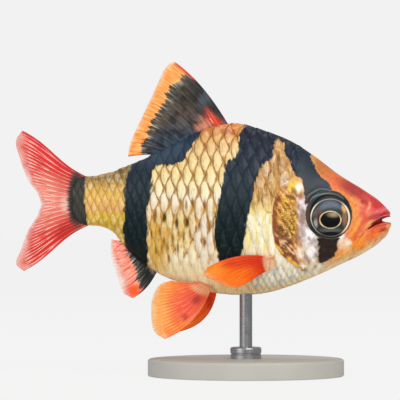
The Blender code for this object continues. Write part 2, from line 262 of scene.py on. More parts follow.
class Flow:
    """A number, vector or colour on its way between nodes, for sums written with plain signs."""

    __add__, __radd__ = sign("ADD"), sign("ADD", True)
    __sub__, __rsub__ = sign("SUBTRACT"), sign("SUBTRACT", True)
    __mul__, __rmul__ = sign("MULTIPLY"), sign("MULTIPLY", True)
    __truediv__, __pow__ = sign("DIVIDE"), sign("POWER")

    def __init__(self, bench: "Bench", socket: bpy.types.NodeSocket) -> None:
        """Keeps the socket and the bench that its sums are added on."""
        self.bench, self.socket = bench, socket

    def __abs__(self) -> "Flow":
        """Adds the node that takes the sign away."""
        return self.bench.math("ABSOLUTE", self)

    def ease(self, low: "Value", high: "Value", least: float = 0.0, most: float = 1.0) -> "Flow":
        """Adds a smooth step.

        Args:
            low: Where the step gives its first value.
            high: Where it gives its last, above or below low.
            least: The first value.
            most: The last value.

        Returns:
            The step's value.
        """
        made = self.bench.node("ShaderNodeMapRange", interpolation_type="SMOOTHSTEP")
        for index, entry in enumerate((self, low, high, least, most)):
            self.bench.feed(made.inputs[index], entry)
        return Flow(self.bench, made.outputs[0])

    def mix(self, share: "Value", other: "Value", blend: str = "MIX") -> "Flow":
        """Adds a mix of this colour with another one, a flow or 8-bit red, green and blue."""
        return self.bench.mix(share, self, other, blend)


Value = Flow | bpy.types.NodeSocket | float | tuple


class Bench:
    """A node tree with short calls for the nodes that the finishes are made of."""

    def __init__(self, tree: bpy.types.NodeTree) -> None:
        """Keeps the tree that the calls add to."""
        self.tree = tree

    def node(self, kind: str, **settings: object) -> bpy.types.Node:
        """Adds a node of a kind, with its settings."""
        made = self.tree.nodes.new(kind)
        for name, value in settings.items():
            setattr(made, name, value)
        return made

    def feed(self, socket: bpy.types.NodeSocket, value: Value) -> None:
        """Links a socket to another one, or gives it a plain value."""
        value = value.socket if isinstance(value, Flow) else value
        if isinstance(value, bpy.types.NodeSocket):
            self.tree.links.new(value, socket)
        else:
            socket.default_value = value

    def math(self, operation: str, *values: Value, clamp: bool = False) -> Flow:
        """Adds a sum on plain numbers.

        Args:
            operation: The Math node's operation.
            values: Its inputs in order.
            clamp: True to hold the result to 0 to 1.

        Returns:
            The result.
        """
        made = self.node("ShaderNodeMath", operation=operation, use_clamp=clamp)
        for index, value in enumerate(values):
            self.feed(made.inputs[index], value)
        return Flow(self, made.outputs[0])

    def vector(self, operation: str, *values: Value) -> Flow:
        """Adds a sum on vectors.

        Args:
            operation: The Vector Math node's operation.
            values: Its inputs in order. The last of SCALE is a number.

        Returns:
            The result, which is a number for LENGTH.
        """
        made = self.node("ShaderNodeVectorMath", operation=operation)
        for index, value in enumerate(values):
            self.feed(made.inputs["Scale"] if operation == "SCALE" and index else made.inputs[index], value)
        return Flow(self, made.outputs["Value" if operation == "LENGTH" else "Vector"])

    def mix(self, share: Value, first: Value, second: Value, blend: str = "MIX") -> Flow:
        """Adds a mix of two colours.

        Args:
            share: How much of the second colour shows.
            first: The first colour, a flow or 8-bit red, green and blue.
            second: The second colour, the same way.
            blend: The way they mix.

        Returns:
            The mixed colour.
        """
        made = self.node("ShaderNodeMix", data_type="RGBA", blend_type=blend)
        self.feed(made.inputs["Factor"], share)
        for index, colour in ((6, first), (7, second)):
            self.feed(made.inputs[index], paint(*colour) if isinstance(colour, tuple) else colour)
        return Flow(self, made.outputs[2])

    def noise(self, place: Value, scale: float, detail: float = 2.0, stretch: Triple = (1.0, 1.0, 1.0),
              colour: bool = False) -> Flow:
        """Adds a noise on a place.

        Args:
            place: The vector that the noise is read at.
            scale: Cells for one unit of the place.
            detail: Octaves of detail.
            stretch: How much each axis is squeezed before it is read.
            colour: True for three separate noises as a vector.

        Returns:
            The noise, about 0 to 1.
        """
        if stretch != (1.0, 1.0, 1.0):
            place = self.vector("MULTIPLY", place, stretch)
        made = self.node("ShaderNodeTexNoise", noise_dimensions="3D")
        self.feed(made.inputs["Vector"], place)
        self.feed(made.inputs["Scale"], scale)
        self.feed(made.inputs["Detail"], detail)
        return Flow(self, made.outputs["Color" if colour else 0])

    def streaks(self, place: Value, turn: float, fine: float, long: float, detail: float = 3.0) -> Flow:
        """Adds a noise drawn out into streaks on the side view.

        Args:
            place: Length, height and distance out, in millimetres.
            turn: The streaks' direction, in degrees from the length.
            fine: Cells a millimetre across the streaks.
            long: Cells a millimetre along them.
            detail: Octaves of detail.

        Returns:
            The noise, about 0 to 1.
        """
        made = self.node("ShaderNodeVectorRotate", rotation_type="Z_AXIS")
        self.feed(made.inputs["Vector"], place)
        made.inputs["Angle"].default_value = -math.radians(turn)
        return self.noise(made.outputs[0], 1.0, detail, stretch=(long, fine, 0.6))

    def curve(self, value: Value, knots: Knots) -> Flow:
        """Adds a smooth curve of a number through some knots, level beyond its ends.

        Args:
            value: The number to read.
            knots: Pairs of number and result, in any order.

        Returns:
            The curve's result.
        """
        ordered = sorted(knots)
        low, high = ordered[0][0], ordered[-1][0]
        results = [result for _, result in ordered]
        least, most = min(results) - 0.1, max(results) + 0.1
        made = self.node("ShaderNodeFloatCurve")
        line = made.mapping.curves[0]
        places = [((at - low) / (high - low), (result - least) / (most - least)) for at, result in ordered]
        line.points[0].location = places[0]
        line.points[1].location = places[-1]
        for place in places[1:-1]:
            line.points.new(*place)
        made.mapping.update()
        share = self.math("DIVIDE", value - low, high - low, clamp=True)
        self.feed(made.inputs["Value"], share)
        return self.math("MULTIPLY_ADD", made.outputs[0], most - least, least)

    def ramp(self, value: Value, stops: tuple[tuple[float, tuple], ...], low: float, high: float) -> Flow:
        """Adds a run of colours along a number.

        Args:
            value: The number to read.
            stops: Pairs of number and linear colour.
            low: The lowest number in use.
            high: The highest number in use.

        Returns:
            The colour.
        """
        share = self.math("DIVIDE", value - low, high - low, clamp=True)
        made = self.node("ShaderNodeValToRGB")
        entries = made.color_ramp.elements
        ordered = sorted((min(max((at - low) / (high - low), 0.0), 1.0), colour) for at, colour in stops)
        entries[0].position, entries[0].color = ordered[0]
        entries[1].position, entries[1].color = ordered[-1]
        for position, colour in ordered[1:-1]:
            entries.new(position).color = colour
        self.feed(made.inputs["Fac"], share)
        return Flow(self, made.outputs["Color"])

    def split(self, vector: Value) -> tuple[Flow, ...]:
        """Takes a vector apart into its three numbers."""
        made = self.node("ShaderNodeSeparateXYZ")
        self.feed(made.inputs[0], vector)
        return tuple(Flow(self, output) for output in made.outputs)

    def join(self, *values: Value) -> Flow:
        """Makes a vector of three numbers."""
        made = self.node("ShaderNodeCombineXYZ")
        for index, value in enumerate(values):
            self.feed(made.inputs[index], value)
        return Flow(self, made.outputs[0])

    def note(self, name: str) -> Flow:
        """Reads one of a piece's own vector attributes."""
        return Flow(self, self.node("ShaderNodeAttribute", attribute_name=name).outputs["Vector"])

    def flows(self, node: bpy.types.Node) -> dict[str, Flow]:
        """Lists a node's outputs by name."""
        return {output.name: Flow(self, output) for output in node.outputs}

    def group(self, tree: bpy.types.NodeTree, **values: Value) -> dict[str, Flow]:
        """Adds a node group with its inputs fed by name, and lists its outputs."""
        made = self.node("ShaderNodeGroup")
        made.node_tree = tree
        for name, value in values.items():
            self.feed(made.inputs[name], value)
        return self.flows(made)

    def bump(self, height: Value, reach: float, strength: float = 1.0) -> Flow:
        """Adds a bump whose full height is reach metres."""
        made = self.node("ShaderNodeBump")
        made.inputs["Strength"].default_value = strength
        made.inputs["Distance"].default_value = reach
        self.feed(made.inputs["Height"], height)
        return Flow(self, made.outputs[0])


@dataclass(frozen=True)
class Gloss:
    """How a finish takes light, the same all over it."""

    specular: float = 0.5
    coat: float = 0.0
    coat_roughness: float = 0.1
    subsurface: float = 0.0
    metal: float = 0.0


def new_finish(name: str, gloss: Gloss) -> tuple[bpy.types.Material, Bench, bpy.types.Node]:
    """Starts a finish.

    Args:
        name: The material's name.
        gloss: Its even values.

    Returns:
        The material, the bench for its nodes and its shader.
    """
    material = bpy.data.materials.new(name)
    material.use_nodes = True
    shader = material.node_tree.nodes["Principled BSDF"]
    shader.inputs["Specular IOR Level"].default_value = gloss.specular
    shader.inputs["Coat Weight"].default_value = gloss.coat
    shader.inputs["Coat Roughness"].default_value = gloss.coat_roughness
    shader.inputs["Metallic"].default_value = gloss.metal
    if gloss.subsurface:
        shader.inputs["Subsurface Weight"].default_value = gloss.subsurface
        shader.inputs["Subsurface Radius"].default_value = (1.0, 0.35, 0.2)
        shader.inputs["Subsurface Scale"].default_value = 0.0006
    return material, Bench(material.node_tree), shader


# The fish's own shape


@dataclass(frozen=True)
class BodyForm:
    """The body's outline and sections, in millimetres from the snout and the axis."""

    back: Knots = (
        (0.0, -0.45), (0.5, 0.5), (1.6, 1.73), (4.7, 4.0), (8.9, 6.6), (13.0, 9.7), (17.2, 12.45),
        (22.0, 14.35), (27.6, 15.6), (31.0, 15.0), (36.0, 12.8), (41.6, 10.05), (46.0, 8.05), (51.5, 6.4),
        (53.4, 6.2), (54.8, 5.4), (55.6, 4.1),
    )
    belly: Knots = (
        (0.0, -1.9), (0.5, -3.4), (1.6, -4.7), (4.7, -6.95), (8.9, -9.0), (13.0, -10.9), (17.2, -12.6),
        (21.4, -13.85), (26.5, -14.25), (31.0, -13.8), (36.0, -12.25), (40.0, -10.75), (43.2, -8.45),
        (46.3, -5.6), (48.4, -3.2), (50.5, -2.3), (52.6, -2.1), (54.6, -1.2), (55.6, 0.2),
    )
    half_width: Knots = (
        (0.0, 0.75), (0.5, 1.45), (1.6, 2.1), (4.7, 3.0), (8.0, 3.75), (10.7, 4.2), (15.0, 4.95),
        (20.0, 5.65), (25.5, 6.1), (30.0, 6.0), (35.0, 5.3), (40.0, 4.2), (45.0, 3.0), (50.0, 1.95),
        (53.0, 1.45), (54.6, 0.95), (55.6, 0.45),
    )
    widest: Knots = (
        (0.0, -1.1), (5.0, -1.6), (12.0, -1.6), (20.0, -1.2), (28.0, -0.6), (36.0, 0.3), (42.0, 1.3),
        (48.0, 2.1), (55.6, 2.15),
    )
    back_sharpness: float = 1.22
    belly_sharpness: float = 0.98
    end: float = 55.6
    nose_cap: float = 0.15
    tail_cap: float = 0.25
    coat_depth: float = 0.32
    ridge_depth: float = 0.08

    def inset(self, out: Array) -> Array:
        """Gives the coat's depth, least along the back and the belly, where the scales lie flattest."""
        return self.ridge_depth + (self.coat_depth - self.ridge_depth) * ease(np.abs(out), 0.3, 2.4)

    def section(self, length: Array, above: Array) -> tuple[Array, ...]:
        """Reads a half section's middle height, its reach from there and its roundness.

        Args:
            length: Length from the snout.
            above: Whether the half over the middle is meant.

        Returns:
            The three values for each length.
        """
        middle, back, belly = (smooth_curve(line, length) for line in (self.widest, self.back, self.belly))
        reach = np.where(above, back - middle, middle - belly)
        return middle, reach, np.where(above, self.back_sharpness, self.belly_sharpness)

    def point(self, length: Array, turn: Array, share: Array | float = 1.0) -> Array:
        """Gives places on the body's surface.

        Args:
            length: Length from the snout.
            turn: Angle round the section, 0 at the right flank and a quarter turn at the back.
            share: How far out from the section's middle, 1 on the surface.

        Returns:
            Length, out and height for each place, in millimetres.
        """
        length, turn = np.broadcast_arrays(np.asarray(length, float), np.asarray(turn, float))
        middle, reach, power = self.section(length, np.sin(turn) >= 0.0)
        cosine = np.cos(turn)
        out = -smooth_curve(self.half_width, length) * np.sign(cosine) * np.abs(cosine) ** power
        return np.stack([length, out * share, middle + reach * np.sin(turn) * share], axis=-1)

    def flank(self, length: Array, height: Array) -> Array:
        """Gives the half width at a length and height."""
        middle, reach, power = self.section(length, height >= smooth_curve(self.widest, length))
        share = np.clip((height - middle) / reach, -1.0, 1.0)
        return smooth_curve(self.half_width, length) * (1.0 - share**2) ** (power / 2)

    def normal(self, length: Array, turn: Array) -> Array:
        """Gives the outward direction at places on the surface.

        Args:
            length: Lengths from the snout in millimetres.
            turn: Angles round the section, 0 at the right flank and a quarter turn at the back.

        Returns:
            A unit vector for each place, pointing out of the body.
        """
        length = np.clip(length, 0.3, self.end - 0.1)
        ahead = self.point(length + 0.04, turn) - self.point(length - 0.04, turn)
        round_it = self.point(length, turn + 0.01) - self.point(length, turn - 0.01)
        across = np.cross(round_it, ahead)
        across /= np.maximum(np.linalg.norm(across, axis=-1, keepdims=True), 1e-9)
        middle = self.point(length, turn, 0.0)
        outward = np.sum(across * (self.point(length, turn) - middle), axis=-1, keepdims=True)
        return across * np.where(outward < 0.0, -1.0, 1.0)


@dataclass(frozen=True)
class EyeForm:
    """An eye's place in the head, in millimetres."""

    place: Pair = (10.65, -0.55)
    radius: float = 3.6
    cornea_depth: float = 0.95
    ring_out: float = 3.75
    toe_in: float = math.radians(11.0)
    tilt: float = math.radians(4.0)

    def frame_of(self, side: Side) -> Matrix:
        """Gives the eye's own axes in world millimetres: x forward, y up, z out of the head.

        Args:
            side: The flank that the eye is on.

        Returns:
            The matrix of the right eye, or its mirror image for the left.
        """
        length, height = self.place
        here = Matrix.Translation((TOTAL_LENGTH / 2 - length, -self.ring_out, AXIS_HEIGHT + height))
        upright = Matrix.Rotation(math.pi / 2 - self.tilt, 4, "X")
        turned = here @ Matrix.Rotation(self.toe_in, 4, "Z") @ upright
        if side is Side.LEFT:
            return Matrix.Diagonal((1.0, -1.0, 1.0, 1.0)) @ turned
        return turned


@dataclass(frozen=True)
class HeadLines:
    """Lines of the head on the side view, in millimetres."""

    gape_roof: Knots = ((-1.0, -0.56), (0.6, -0.68), (1.6, -1.05), (4.4, -2.75))
    gape_floor: Knots = ((-1.0, -1.76), (0.5, -1.74), (1.3, -1.92), (2.7, -2.42), (4.1, -2.98))
    gape_corner: float = 4.1
    nape: Knots = ((13.9, 18.0), (15.0, 11.5), (15.7, 8.6), (16.9, 6.3))
    gill: Knots = (
        (16.9, 6.3), (19.2, 4.6), (20.5, 2.2), (20.8, -1.4), (20.4, -4.6), (19.2, -7.0), (17.2, -8.9),
        (14.8, -10.1),
    )
    throat: Knots = ((14.8, -10.1), (13.6, -16.0))
    cheek: Knots = ((14.0, -9.3), (13.9, -8.0), (14.9, -5.0), (15.9, -1.6), (16.1, 1.6), (15.7, 4.2))
    jaw: Knots = ((4.1, -2.98), (5.4, -3.4), (6.6, -4.9), (8.6, -7.0), (11.6, -8.6))
    maxilla: Knots = ((5.1, -3.2), (4.2, -1.7), (3.1, -0.1), (2.3, 1.2))
    branchial: Knots = ((20.0, -6.8), (18.6, -8.6), (16.3, -10.1), (13.4, -10.6), (10.2, -9.0))
    pectoral_base: Pair = (21.5, -8.9)
    nostrils: Knots = ((4.25, 1.55), (5.0, 1.95))

    def head_edge(self) -> Array:
        """Gives the whole line between the head and the scaled body, from the back to the throat."""
        parts = [path_point(line, np.linspace(0.0, 1.0, 24)) for line in (self.nape, self.gill, self.throat)]
        return np.concatenate([parts[0], parts[1][1:], parts[2][1:]])

    def line(self, knots: Knots) -> Array:
        """Gives a smooth line through some knots."""
        return path_point(knots, np.linspace(0.0, 1.0, 20))


@dataclass
class Skin:
    """The one skin over head, jaw, gill covers, trunk and tail stalk, with the head's folds in it."""

    form: BodyForm = field(default_factory=BodyForm)
    eye: EyeForm = field(default_factory=EyeForm)
    lines: HeadLines = field(default_factory=HeadLines)
    around: int = 300
    head_inset: float = 0.12
    lip: float = 0.12
    mouth_depth: float = 1.5
    gill_lift: float = 0.2
    cheek_lift: float = 0.12
    rim_lift: float = 0.16
    ring_places: tuple[float, ...] = (0.0, 5.0, 8.0, 16.5, 22.0, 30.0)
    ring_steps: tuple[float, ...] = (0.07, 0.085, 0.11, 0.12, 0.3, 0.46)

    def rows(self) -> tuple[Array, Array]:
        """Lays out the skin's rings from the snout to the tail.

        Returns:
            Each ring's length, and its share of the full section.
        """
        nose = np.linspace(0.0, math.pi / 2, 13)
        lengths, shares = list(self.form.nose_cap * (1.0 - np.cos(nose))), list(np.sin(nose))
        place = self.form.nose_cap
        while place < self.form.end - self.form.tail_cap - 0.3:
            place += float(np.interp(place, self.ring_places, self.ring_steps))
            lengths.append(place)
            shares.append(1.0)
        tail = np.linspace(0.0, math.pi / 2, 7)
        start = self.form.end - self.form.tail_cap
        lengths += list(start + self.form.tail_cap * np.sin(tail))
        shares += list(np.cos(tail))
        return np.array(lengths), np.array(shares)

    def relief(self, places: Array) -> Array:
        """Works out how far the skin stands from the solids' surface.

        Args:
            places: Length, out and height of points on that surface.

        Returns:
            Heights along the surface's outward direction, in millimetres.
        """
        length, out, height = places[..., 0], places[..., 1], places[..., 2]
        lines = self.lines
        edge = -signed_reach(length, height, lines.head_edge())
        low = ease(height, 8.0, 5.5)
        sharp = ease(edge, -0.12, 0.16)
        soft = ease(edge, -1.2, 1.0)
        head = soft + (sharp - soft) * low
        inset = self.form.inset(out)
        rise = -inset + (inset - self.head_inset * np.clip(inset / 0.2, 0.0, 1.0)) * head
        on_gill = low * ease(height, -11.5, -9.8)
        rise += self.gill_lift * on_gill * sharp * np.exp(-np.maximum(edge, 0.0) / 1.6)
        rise -= 0.1 * on_gill * bell(edge, -0.35, 0.3)
        cheek = -signed_reach(length, height, lines.line(lines.cheek)[::-1])
        near = ease(height, 6.2, 4.0) * ease(height, -10.2, -8.6)
        rise += near * self.cheek_lift * ease(cheek, 0.1, -0.18) * np.exp(np.minimum(cheek, 0.0) / 1.3)
        rise -= 0.07 * near * bell(cheek, 0.32, 0.28)
        for line, depth, width in (
            (lines.jaw, 0.12, 0.22), (lines.maxilla, 0.1, 0.2), (lines.branchial, 0.1, 0.25),
        ):
            path = lines.line(line)
            away = np.abs(signed_reach(length, height, path))
            rise -= depth * bell(away, 0.0, width)
        base = np.hypot((length - lines.pectoral_base[0]) / 0.95, (height - lines.pectoral_base[1]) / 1.5)
        rise += 0.42 * ease(base, 1.35, 0.35)
        for place in lines.nostrils:
            away = np.hypot(length - place[0], height - place[1])
            rise += (0.07 * bell(away, 0.34, 0.14) - 0.2 * ease(away, 0.3, 0.06)) * (np.abs(out) > 0.8)
        return rise + self.lips(length, height)

    def lips(self, length: Array, height: Array) -> Array:
        """Works out the rolls of the two lips and the grooves behind them.

        Args:
            length: Lengths from the snout.
            height: Heights over the axis.

        Returns:
            What the lips add to the relief, in millimetres.
        """
        lines = self.lines
        gape = self.gape_share(length, height, 0.0)
        above = height - smooth_curve(lines.gape_roof, length)
        below = smooth_curve(lines.gape_floor, length) - height
        ahead = ease(length, lines.gape_corner + 0.5, lines.gape_corner - 1.0)
        groove = ease(length, 0.2, 2.0)
        upper = self.lip * bell(above, 0.78, 0.36) - 0.2 * ease(above, 0.5, 0.0)
        upper = upper - 0.12 * groove * bell(above, 1.55, 0.26)
        lower = self.lip * bell(below, 0.4, 0.36) - 0.12 * groove * bell(below, 1.2, 0.25)
        return ahead * (1.0 - gape) * np.where(above > 0.0, upper, lower)

    def gape_share(self, length: Array, height: Array, edge: float) -> Array:
        """Tells how far places are inside the open mouth, from 0 at its edge to 1.

        Args:
            length: Lengths from the snout.
            height: Heights over the axis.
            edge: Width of the rounded edge, in millimetres.

        Returns:
            The share for each place.
        """
        roof = smooth_curve(self.lines.gape_roof, length)
        floor = smooth_curve(self.lines.gape_floor, length)
        inside = np.minimum(roof - height, height - floor)
        share = ease(inside, 0.0, edge) if edge else (inside > 0.0).astype(float)
        return share * (length < self.lines.gape_corner)

    def open_mouth(self, places: Array, share: Array) -> Array:
        """Pushes the gape's band back and in, which leaves the lips standing round it.

        Args:
            places: The skin's places.
            share: How deep inside the mouth each one is.

        Returns:
            The moved places.
        """
        moved = places.copy()
        shut = np.clip(1.0 - places[..., 0] / self.lines.gape_corner, 0.0, 1.0)
        moved[..., 0] += share * self.mouth_depth * shut**0.6
        moved[..., 1] *= 1.0 - 0.38 * share
        return moved

    def seat_eyes(self, world: Array) -> Array:
        """Sinks the sockets behind the eyes and rolls a rim and folds round them.

        Args:
            world: The skin's places in world millimetres.

        Returns:
            The moved places.
        """
        for side in Side:
            there = np.array(self.eye.frame_of(side))
            back = np.linalg.inv(there)
            local = world @ back[:3, :3].T + back[:3, 3]
            reach = np.hypot(local[..., 0], local[..., 1])
            turn = np.arctan2(local[..., 1], local[..., 0])
            near = (reach < 6.6) & (world[..., 1] * side.value > 0.4)
            level = 0.02 + (local[..., 2] - 0.02) * ease(reach, 3.8, 5.4)
            level = level + self.rim_lift * bell(reach, 4.02, 0.3)
            level = level - 0.1 * bell(reach, 4.62, 0.2)
            upper = ease(np.sin(turn), -0.1, 0.5) * ease(np.cos(turn), 0.75, 0.2)
            level = level + upper * (0.09 * bell(reach, 4.95, 0.18) - 0.09 * bell(reach, 5.3, 0.16))
            front = ease(np.sin(turn), 0.2, -0.5)
            level = level - 0.07 * front * bell(reach, 5.5, 0.3)
            level = level - 1.9 * ease(reach, 3.66, 3.25)
            depth = np.where(near, level, local[..., 2])
            local = np.stack([local[..., 0], local[..., 1], depth], axis=-1)
            seated = local @ there[:3, :3].T + there[:3, 3]
            world = np.where(near[..., None], seated, world)
        return world

    def build(self) -> bpy.types.Object:
        """Makes the skin's mesh, with a note of each point's mouth share for its finish.

        Returns:
            The skin.
        """
        lengths, shares = self.rows()
        turns = np.linspace(-math.pi, math.pi, self.around + 1)
        length, turn = np.meshgrid(lengths, turns, indexing="ij")
        share = np.repeat(shares[:, None], len(turns), axis=1)
        base = self.form.point(length, turn, share)
        normals = self.form.normal(length, turn)
        facing = np.sqrt(np.clip(1.0 - share**2, 0.0, 1.0))[..., None]
        forward = np.where(length[..., None] < 10.0, -1.0, 1.0) * np.array([1.0, 0.0, 0.0])
        normals = normals * (1.0 - facing) + forward * facing
        places = base + normals * self.relief(base)[..., None]
        inside = self.gape_share(base[..., 0], base[..., 2], 0.3)
        places = self.open_mouth(places, inside)
        world = to_world(places) / MM
        world = self.seat_eyes(world) * MM
        world[:, -1] = world[:, 0]
        notes = np.stack([inside, 0 * inside, 0 * inside], axis=-1)
        skin = Sheet("body_skin", world, {"mouth": notes}).build()
        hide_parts("head", "lower_jaw", "gill_cover_left", "gill_cover_right", "trunk", "tail_stalk")
        return skin


# Scales


@dataclass
class ScaleCoat:
    """The overlapping scales of the body: closed plates, laid on the skin in rows that follow the flank."""

    form: BodyForm = field(default_factory=BodyForm)
    lines: HeadLines = field(default_factory=HeadLines)
    lift: float = 0.21
    edge_thickness: float = 0.055
    overlap: float = 2.3
    breadth: float = 1.02
    stray: Pair = (0.035, 0.02)
    root_depth: float = 0.04
    patch: float = 0.003
    most_rows: int = 12
    seed: int = 41
    lying_along: Knots = ((14.0, 0.55), (20.0, 0.6), (27.0, 1.0))
    lying_up: Knots = ((-16.0, 0.3), (-9.0, 0.45), (-5.0, 0.6), (-1.0, 0.7), (1.5, 1.0))
    lateral_line: Knots = (
        (12.0, -1.4), (20.0, -2.6), (25.0, -2.75), (31.6, -2.3), (36.0, -1.45), (41.0, -0.3), (46.0, 1.3),
        (50.0, 2.1), (55.6, 2.2),
    )
    row_height: Knots = (
        (12.0, 2.2), (20.0, 2.75), (25.0, 3.0), (31.6, 3.05), (36.0, 2.8), (40.0, 2.5), (45.0, 1.9),
        (50.0, 1.45), (55.6, 1.25),
    )
    pitch: Knots = (
        (12.0, 1.6), (20.0, 2.0), (25.0, 2.1), (33.0, 2.1), (39.7, 1.86), (45.0, 1.55), (50.0, 1.3),
        (55.6, 1.1),
    )

    def __post_init__(self) -> None:
        """Measures the flank's girth once, for laying rows on it."""
        self.lengths = np.linspace(10.0, self.form.end - 0.15, 300)
        turns = np.linspace(-math.pi, math.pi, 1201)
        length, turn = np.meshgrid(self.lengths, turns, indexing="ij")
        places = self.form.point(length, turn)[..., 1:]
        runs = np.cumsum(np.linalg.norm(np.diff(places, axis=1), axis=-1), axis=1)
        girth = np.concatenate([np.zeros((len(self.lengths), 1)), runs], axis=1)
        middle = smooth_curve(self.form.widest, self.lengths)
        reach = middle - smooth_curve(self.form.belly, self.lengths)
        above = smooth_curve(self.form.back, self.lengths) - middle
        offset = smooth_curve(self.lateral_line, self.lengths) - middle
        sine = np.clip(offset / np.where(offset < 0.0, reach, above), -0.9, 0.9)
        self.girths = np.linspace(-36.0, 36.0, 1201)
        self.turn_table = np.empty((len(self.lengths), len(self.girths)))
        self.to_back = np.empty(len(self.lengths))
        self.to_belly = np.empty(len(self.lengths))
        for index, start in enumerate(np.arcsin(sine)):
            run = girth[index] - np.interp(start, turns, girth[index])
            self.turn_table[index] = np.interp(self.girths, run, turns)
            self.to_back[index] = np.interp(math.pi / 2, turns, run)
            self.to_belly[index] = -np.interp(-math.pi / 2, turns, run)
        steps = np.diff(self.lengths) / smooth_curve(self.pitch, self.lengths[:-1])
        self.columns = np.concatenate([[0.0], np.cumsum(steps)])

    def turn_at(self, length: Array, girth: Array) -> Array:
        """Finds the angle round the section that lies a girth above the lateral line.

        Args:
            length: Lengths from the snout.
            girth: Distances along the skin, up from the lateral line.

        Returns:
            Angles round the section.
        """
        row, column = (
            np.clip((value - axis[0]) / (axis[1] - axis[0]), 0, len(axis) - 1.001)
            for value, axis in ((length, self.lengths), (girth, self.girths))
        )
        i, j = row.astype(int), column.astype(int)
        a, b = row - i, column - j
        table = self.turn_table
        low = table[i, j] * (1 - b) + table[i, j + 1] * b
        high = table[i + 1, j] * (1 - b) + table[i + 1, j + 1] * b
        return low * (1 - a) + high * a

    def template(self, along: int = 4, across: int = 7) -> tuple[Array, Array, Array]:
        """Makes one closed plate in its own coordinates with Blender's grid operator.

        Args:
            along: Points from the free edge to the root.
            across: Points from one side to the other.

        Returns:
            The plate's points (pitches from the free edge, rows across, 1 above and 0 below), the corners of
            all its faces in a row, and each face's number of corners.
        """
        bm = bmesh.new()
        bmesh.ops.create_grid(bm, x_segments=2 * along, y_segments=across - 1, size=1.0)
        bm.verts.ensure_lookup_table()
        steps = 0.5 - 0.5 * np.cos(np.linspace(0.0, math.pi, along))
        run = np.concatenate([steps, steps[::-1], steps[:1]])
        layer = np.concatenate([np.ones(along), np.zeros(along), np.ones(1)])
        for row, v in enumerate(np.sin(np.linspace(-math.pi / 2, math.pi / 2, across))):
            free = 0.5 * v * v
            root = 0.64 + (self.overlap - 0.64) * math.sqrt(max(1.0 - v * v, 0.0)) ** 0.8
            for column in range(2 * along + 1):
                vertex = bm.verts[row * (2 * along + 1) + column]
                tip = abs(v) > 0.999
                vertex.co = (
                    free + (root - free) * (0.5 if tip else run[column]),
                    v,
                    0.5 if tip or run[column] == 1.0 else layer[column],
                )
        bmesh.ops.remove_doubles(bm, verts=bm.verts, dist=1e-5)
        bmesh.ops.recalc_face_normals(bm, faces=bm.faces)
        bm.verts.index_update()
        points = np.array([v.co[:] for v in bm.verts])
        corners = np.array([v.index for f in bm.faces for v in f.verts])
        counts = np.array([len(f.verts) for f in bm.faces])
        bm.free()
        return points, corners, counts

    def lattice(self, fine: float, keep: Callable[[float, float], bool]) -> list[Pair]:
        """Lists the scales of one flank.

        Args:
            fine: Size of a scale beside the flank's full size.
            keep: Says whether a scale with its centre at a length and height is laid.

        Returns:
            Each scale's column and row on the lattice.
        """
        found = []
        for row in range(int(-self.most_rows / fine), int(self.most_rows / fine)):
            column = 0.5 * (row % 2)
            while column * fine < self.columns[-1]:
                length = float(np.interp(column * fine, self.columns, self.lengths))
                girth = self.girth_of(np.array(row * fine), np.array(length))
                back = float(np.interp(length, self.lengths, self.to_back))
                belly = float(np.interp(length, self.lengths, self.to_belly))
                high = float(smooth_curve(self.row_height, length)) * fine
                if -belly + 0.12 * high < girth < back - 0.12 * high:
                    middle = length - 0.45 * float(smooth_curve(self.pitch, length)) * fine
                    place = self.form.point(middle, self.turn_at(np.array([middle]), np.array([girth])))[0]
                    if keep(place[0], place[2]):
                        found.append((column * fine, row * fine))
                column += 1.0
        return found

    def girth_of(self, row: Array, length: Array) -> Array:
        """Gives a row's distance along the skin from the lateral line, at a length."""
        return row * (1.0 - 0.014 * np.abs(row)) * smooth_curve(self.row_height, length)

    def rise(self, points: Array, length: Array, girth: Array, tone: Array) -> Array:
        """Works out how far each scale's points stand over the skin.

        Args:
            points: One plate's own points.
            length: Lengths from the snout, a row for each scale.
            girth: Distances from the lateral line.
            tone: Each scale's own random number, which makes it a little thicker or thinner.

        Returns:
            Heights over the skin for a scale of full height, and the part of them that stays at any height.
        """
        v = points[None, :, 1]
        run = (points[None, :, 0] - 0.5 * v * v) / self.overlap
        tucked = 1.0 - 0.2 * v * v - 0.3 * v**8
        top = self.lift * (1.0 - run) * tucked * (1.0 + 0.08 * tone)
        under = self.edge_thickness * (1.0 - 0.5 * run) * (1.0 - points[None, :, 2])
        flat = np.interp(length, *zip(*self.lying_along)) * np.interp(girth, *zip(*self.lying_up))
        return flat * (top - under), -self.root_depth * run

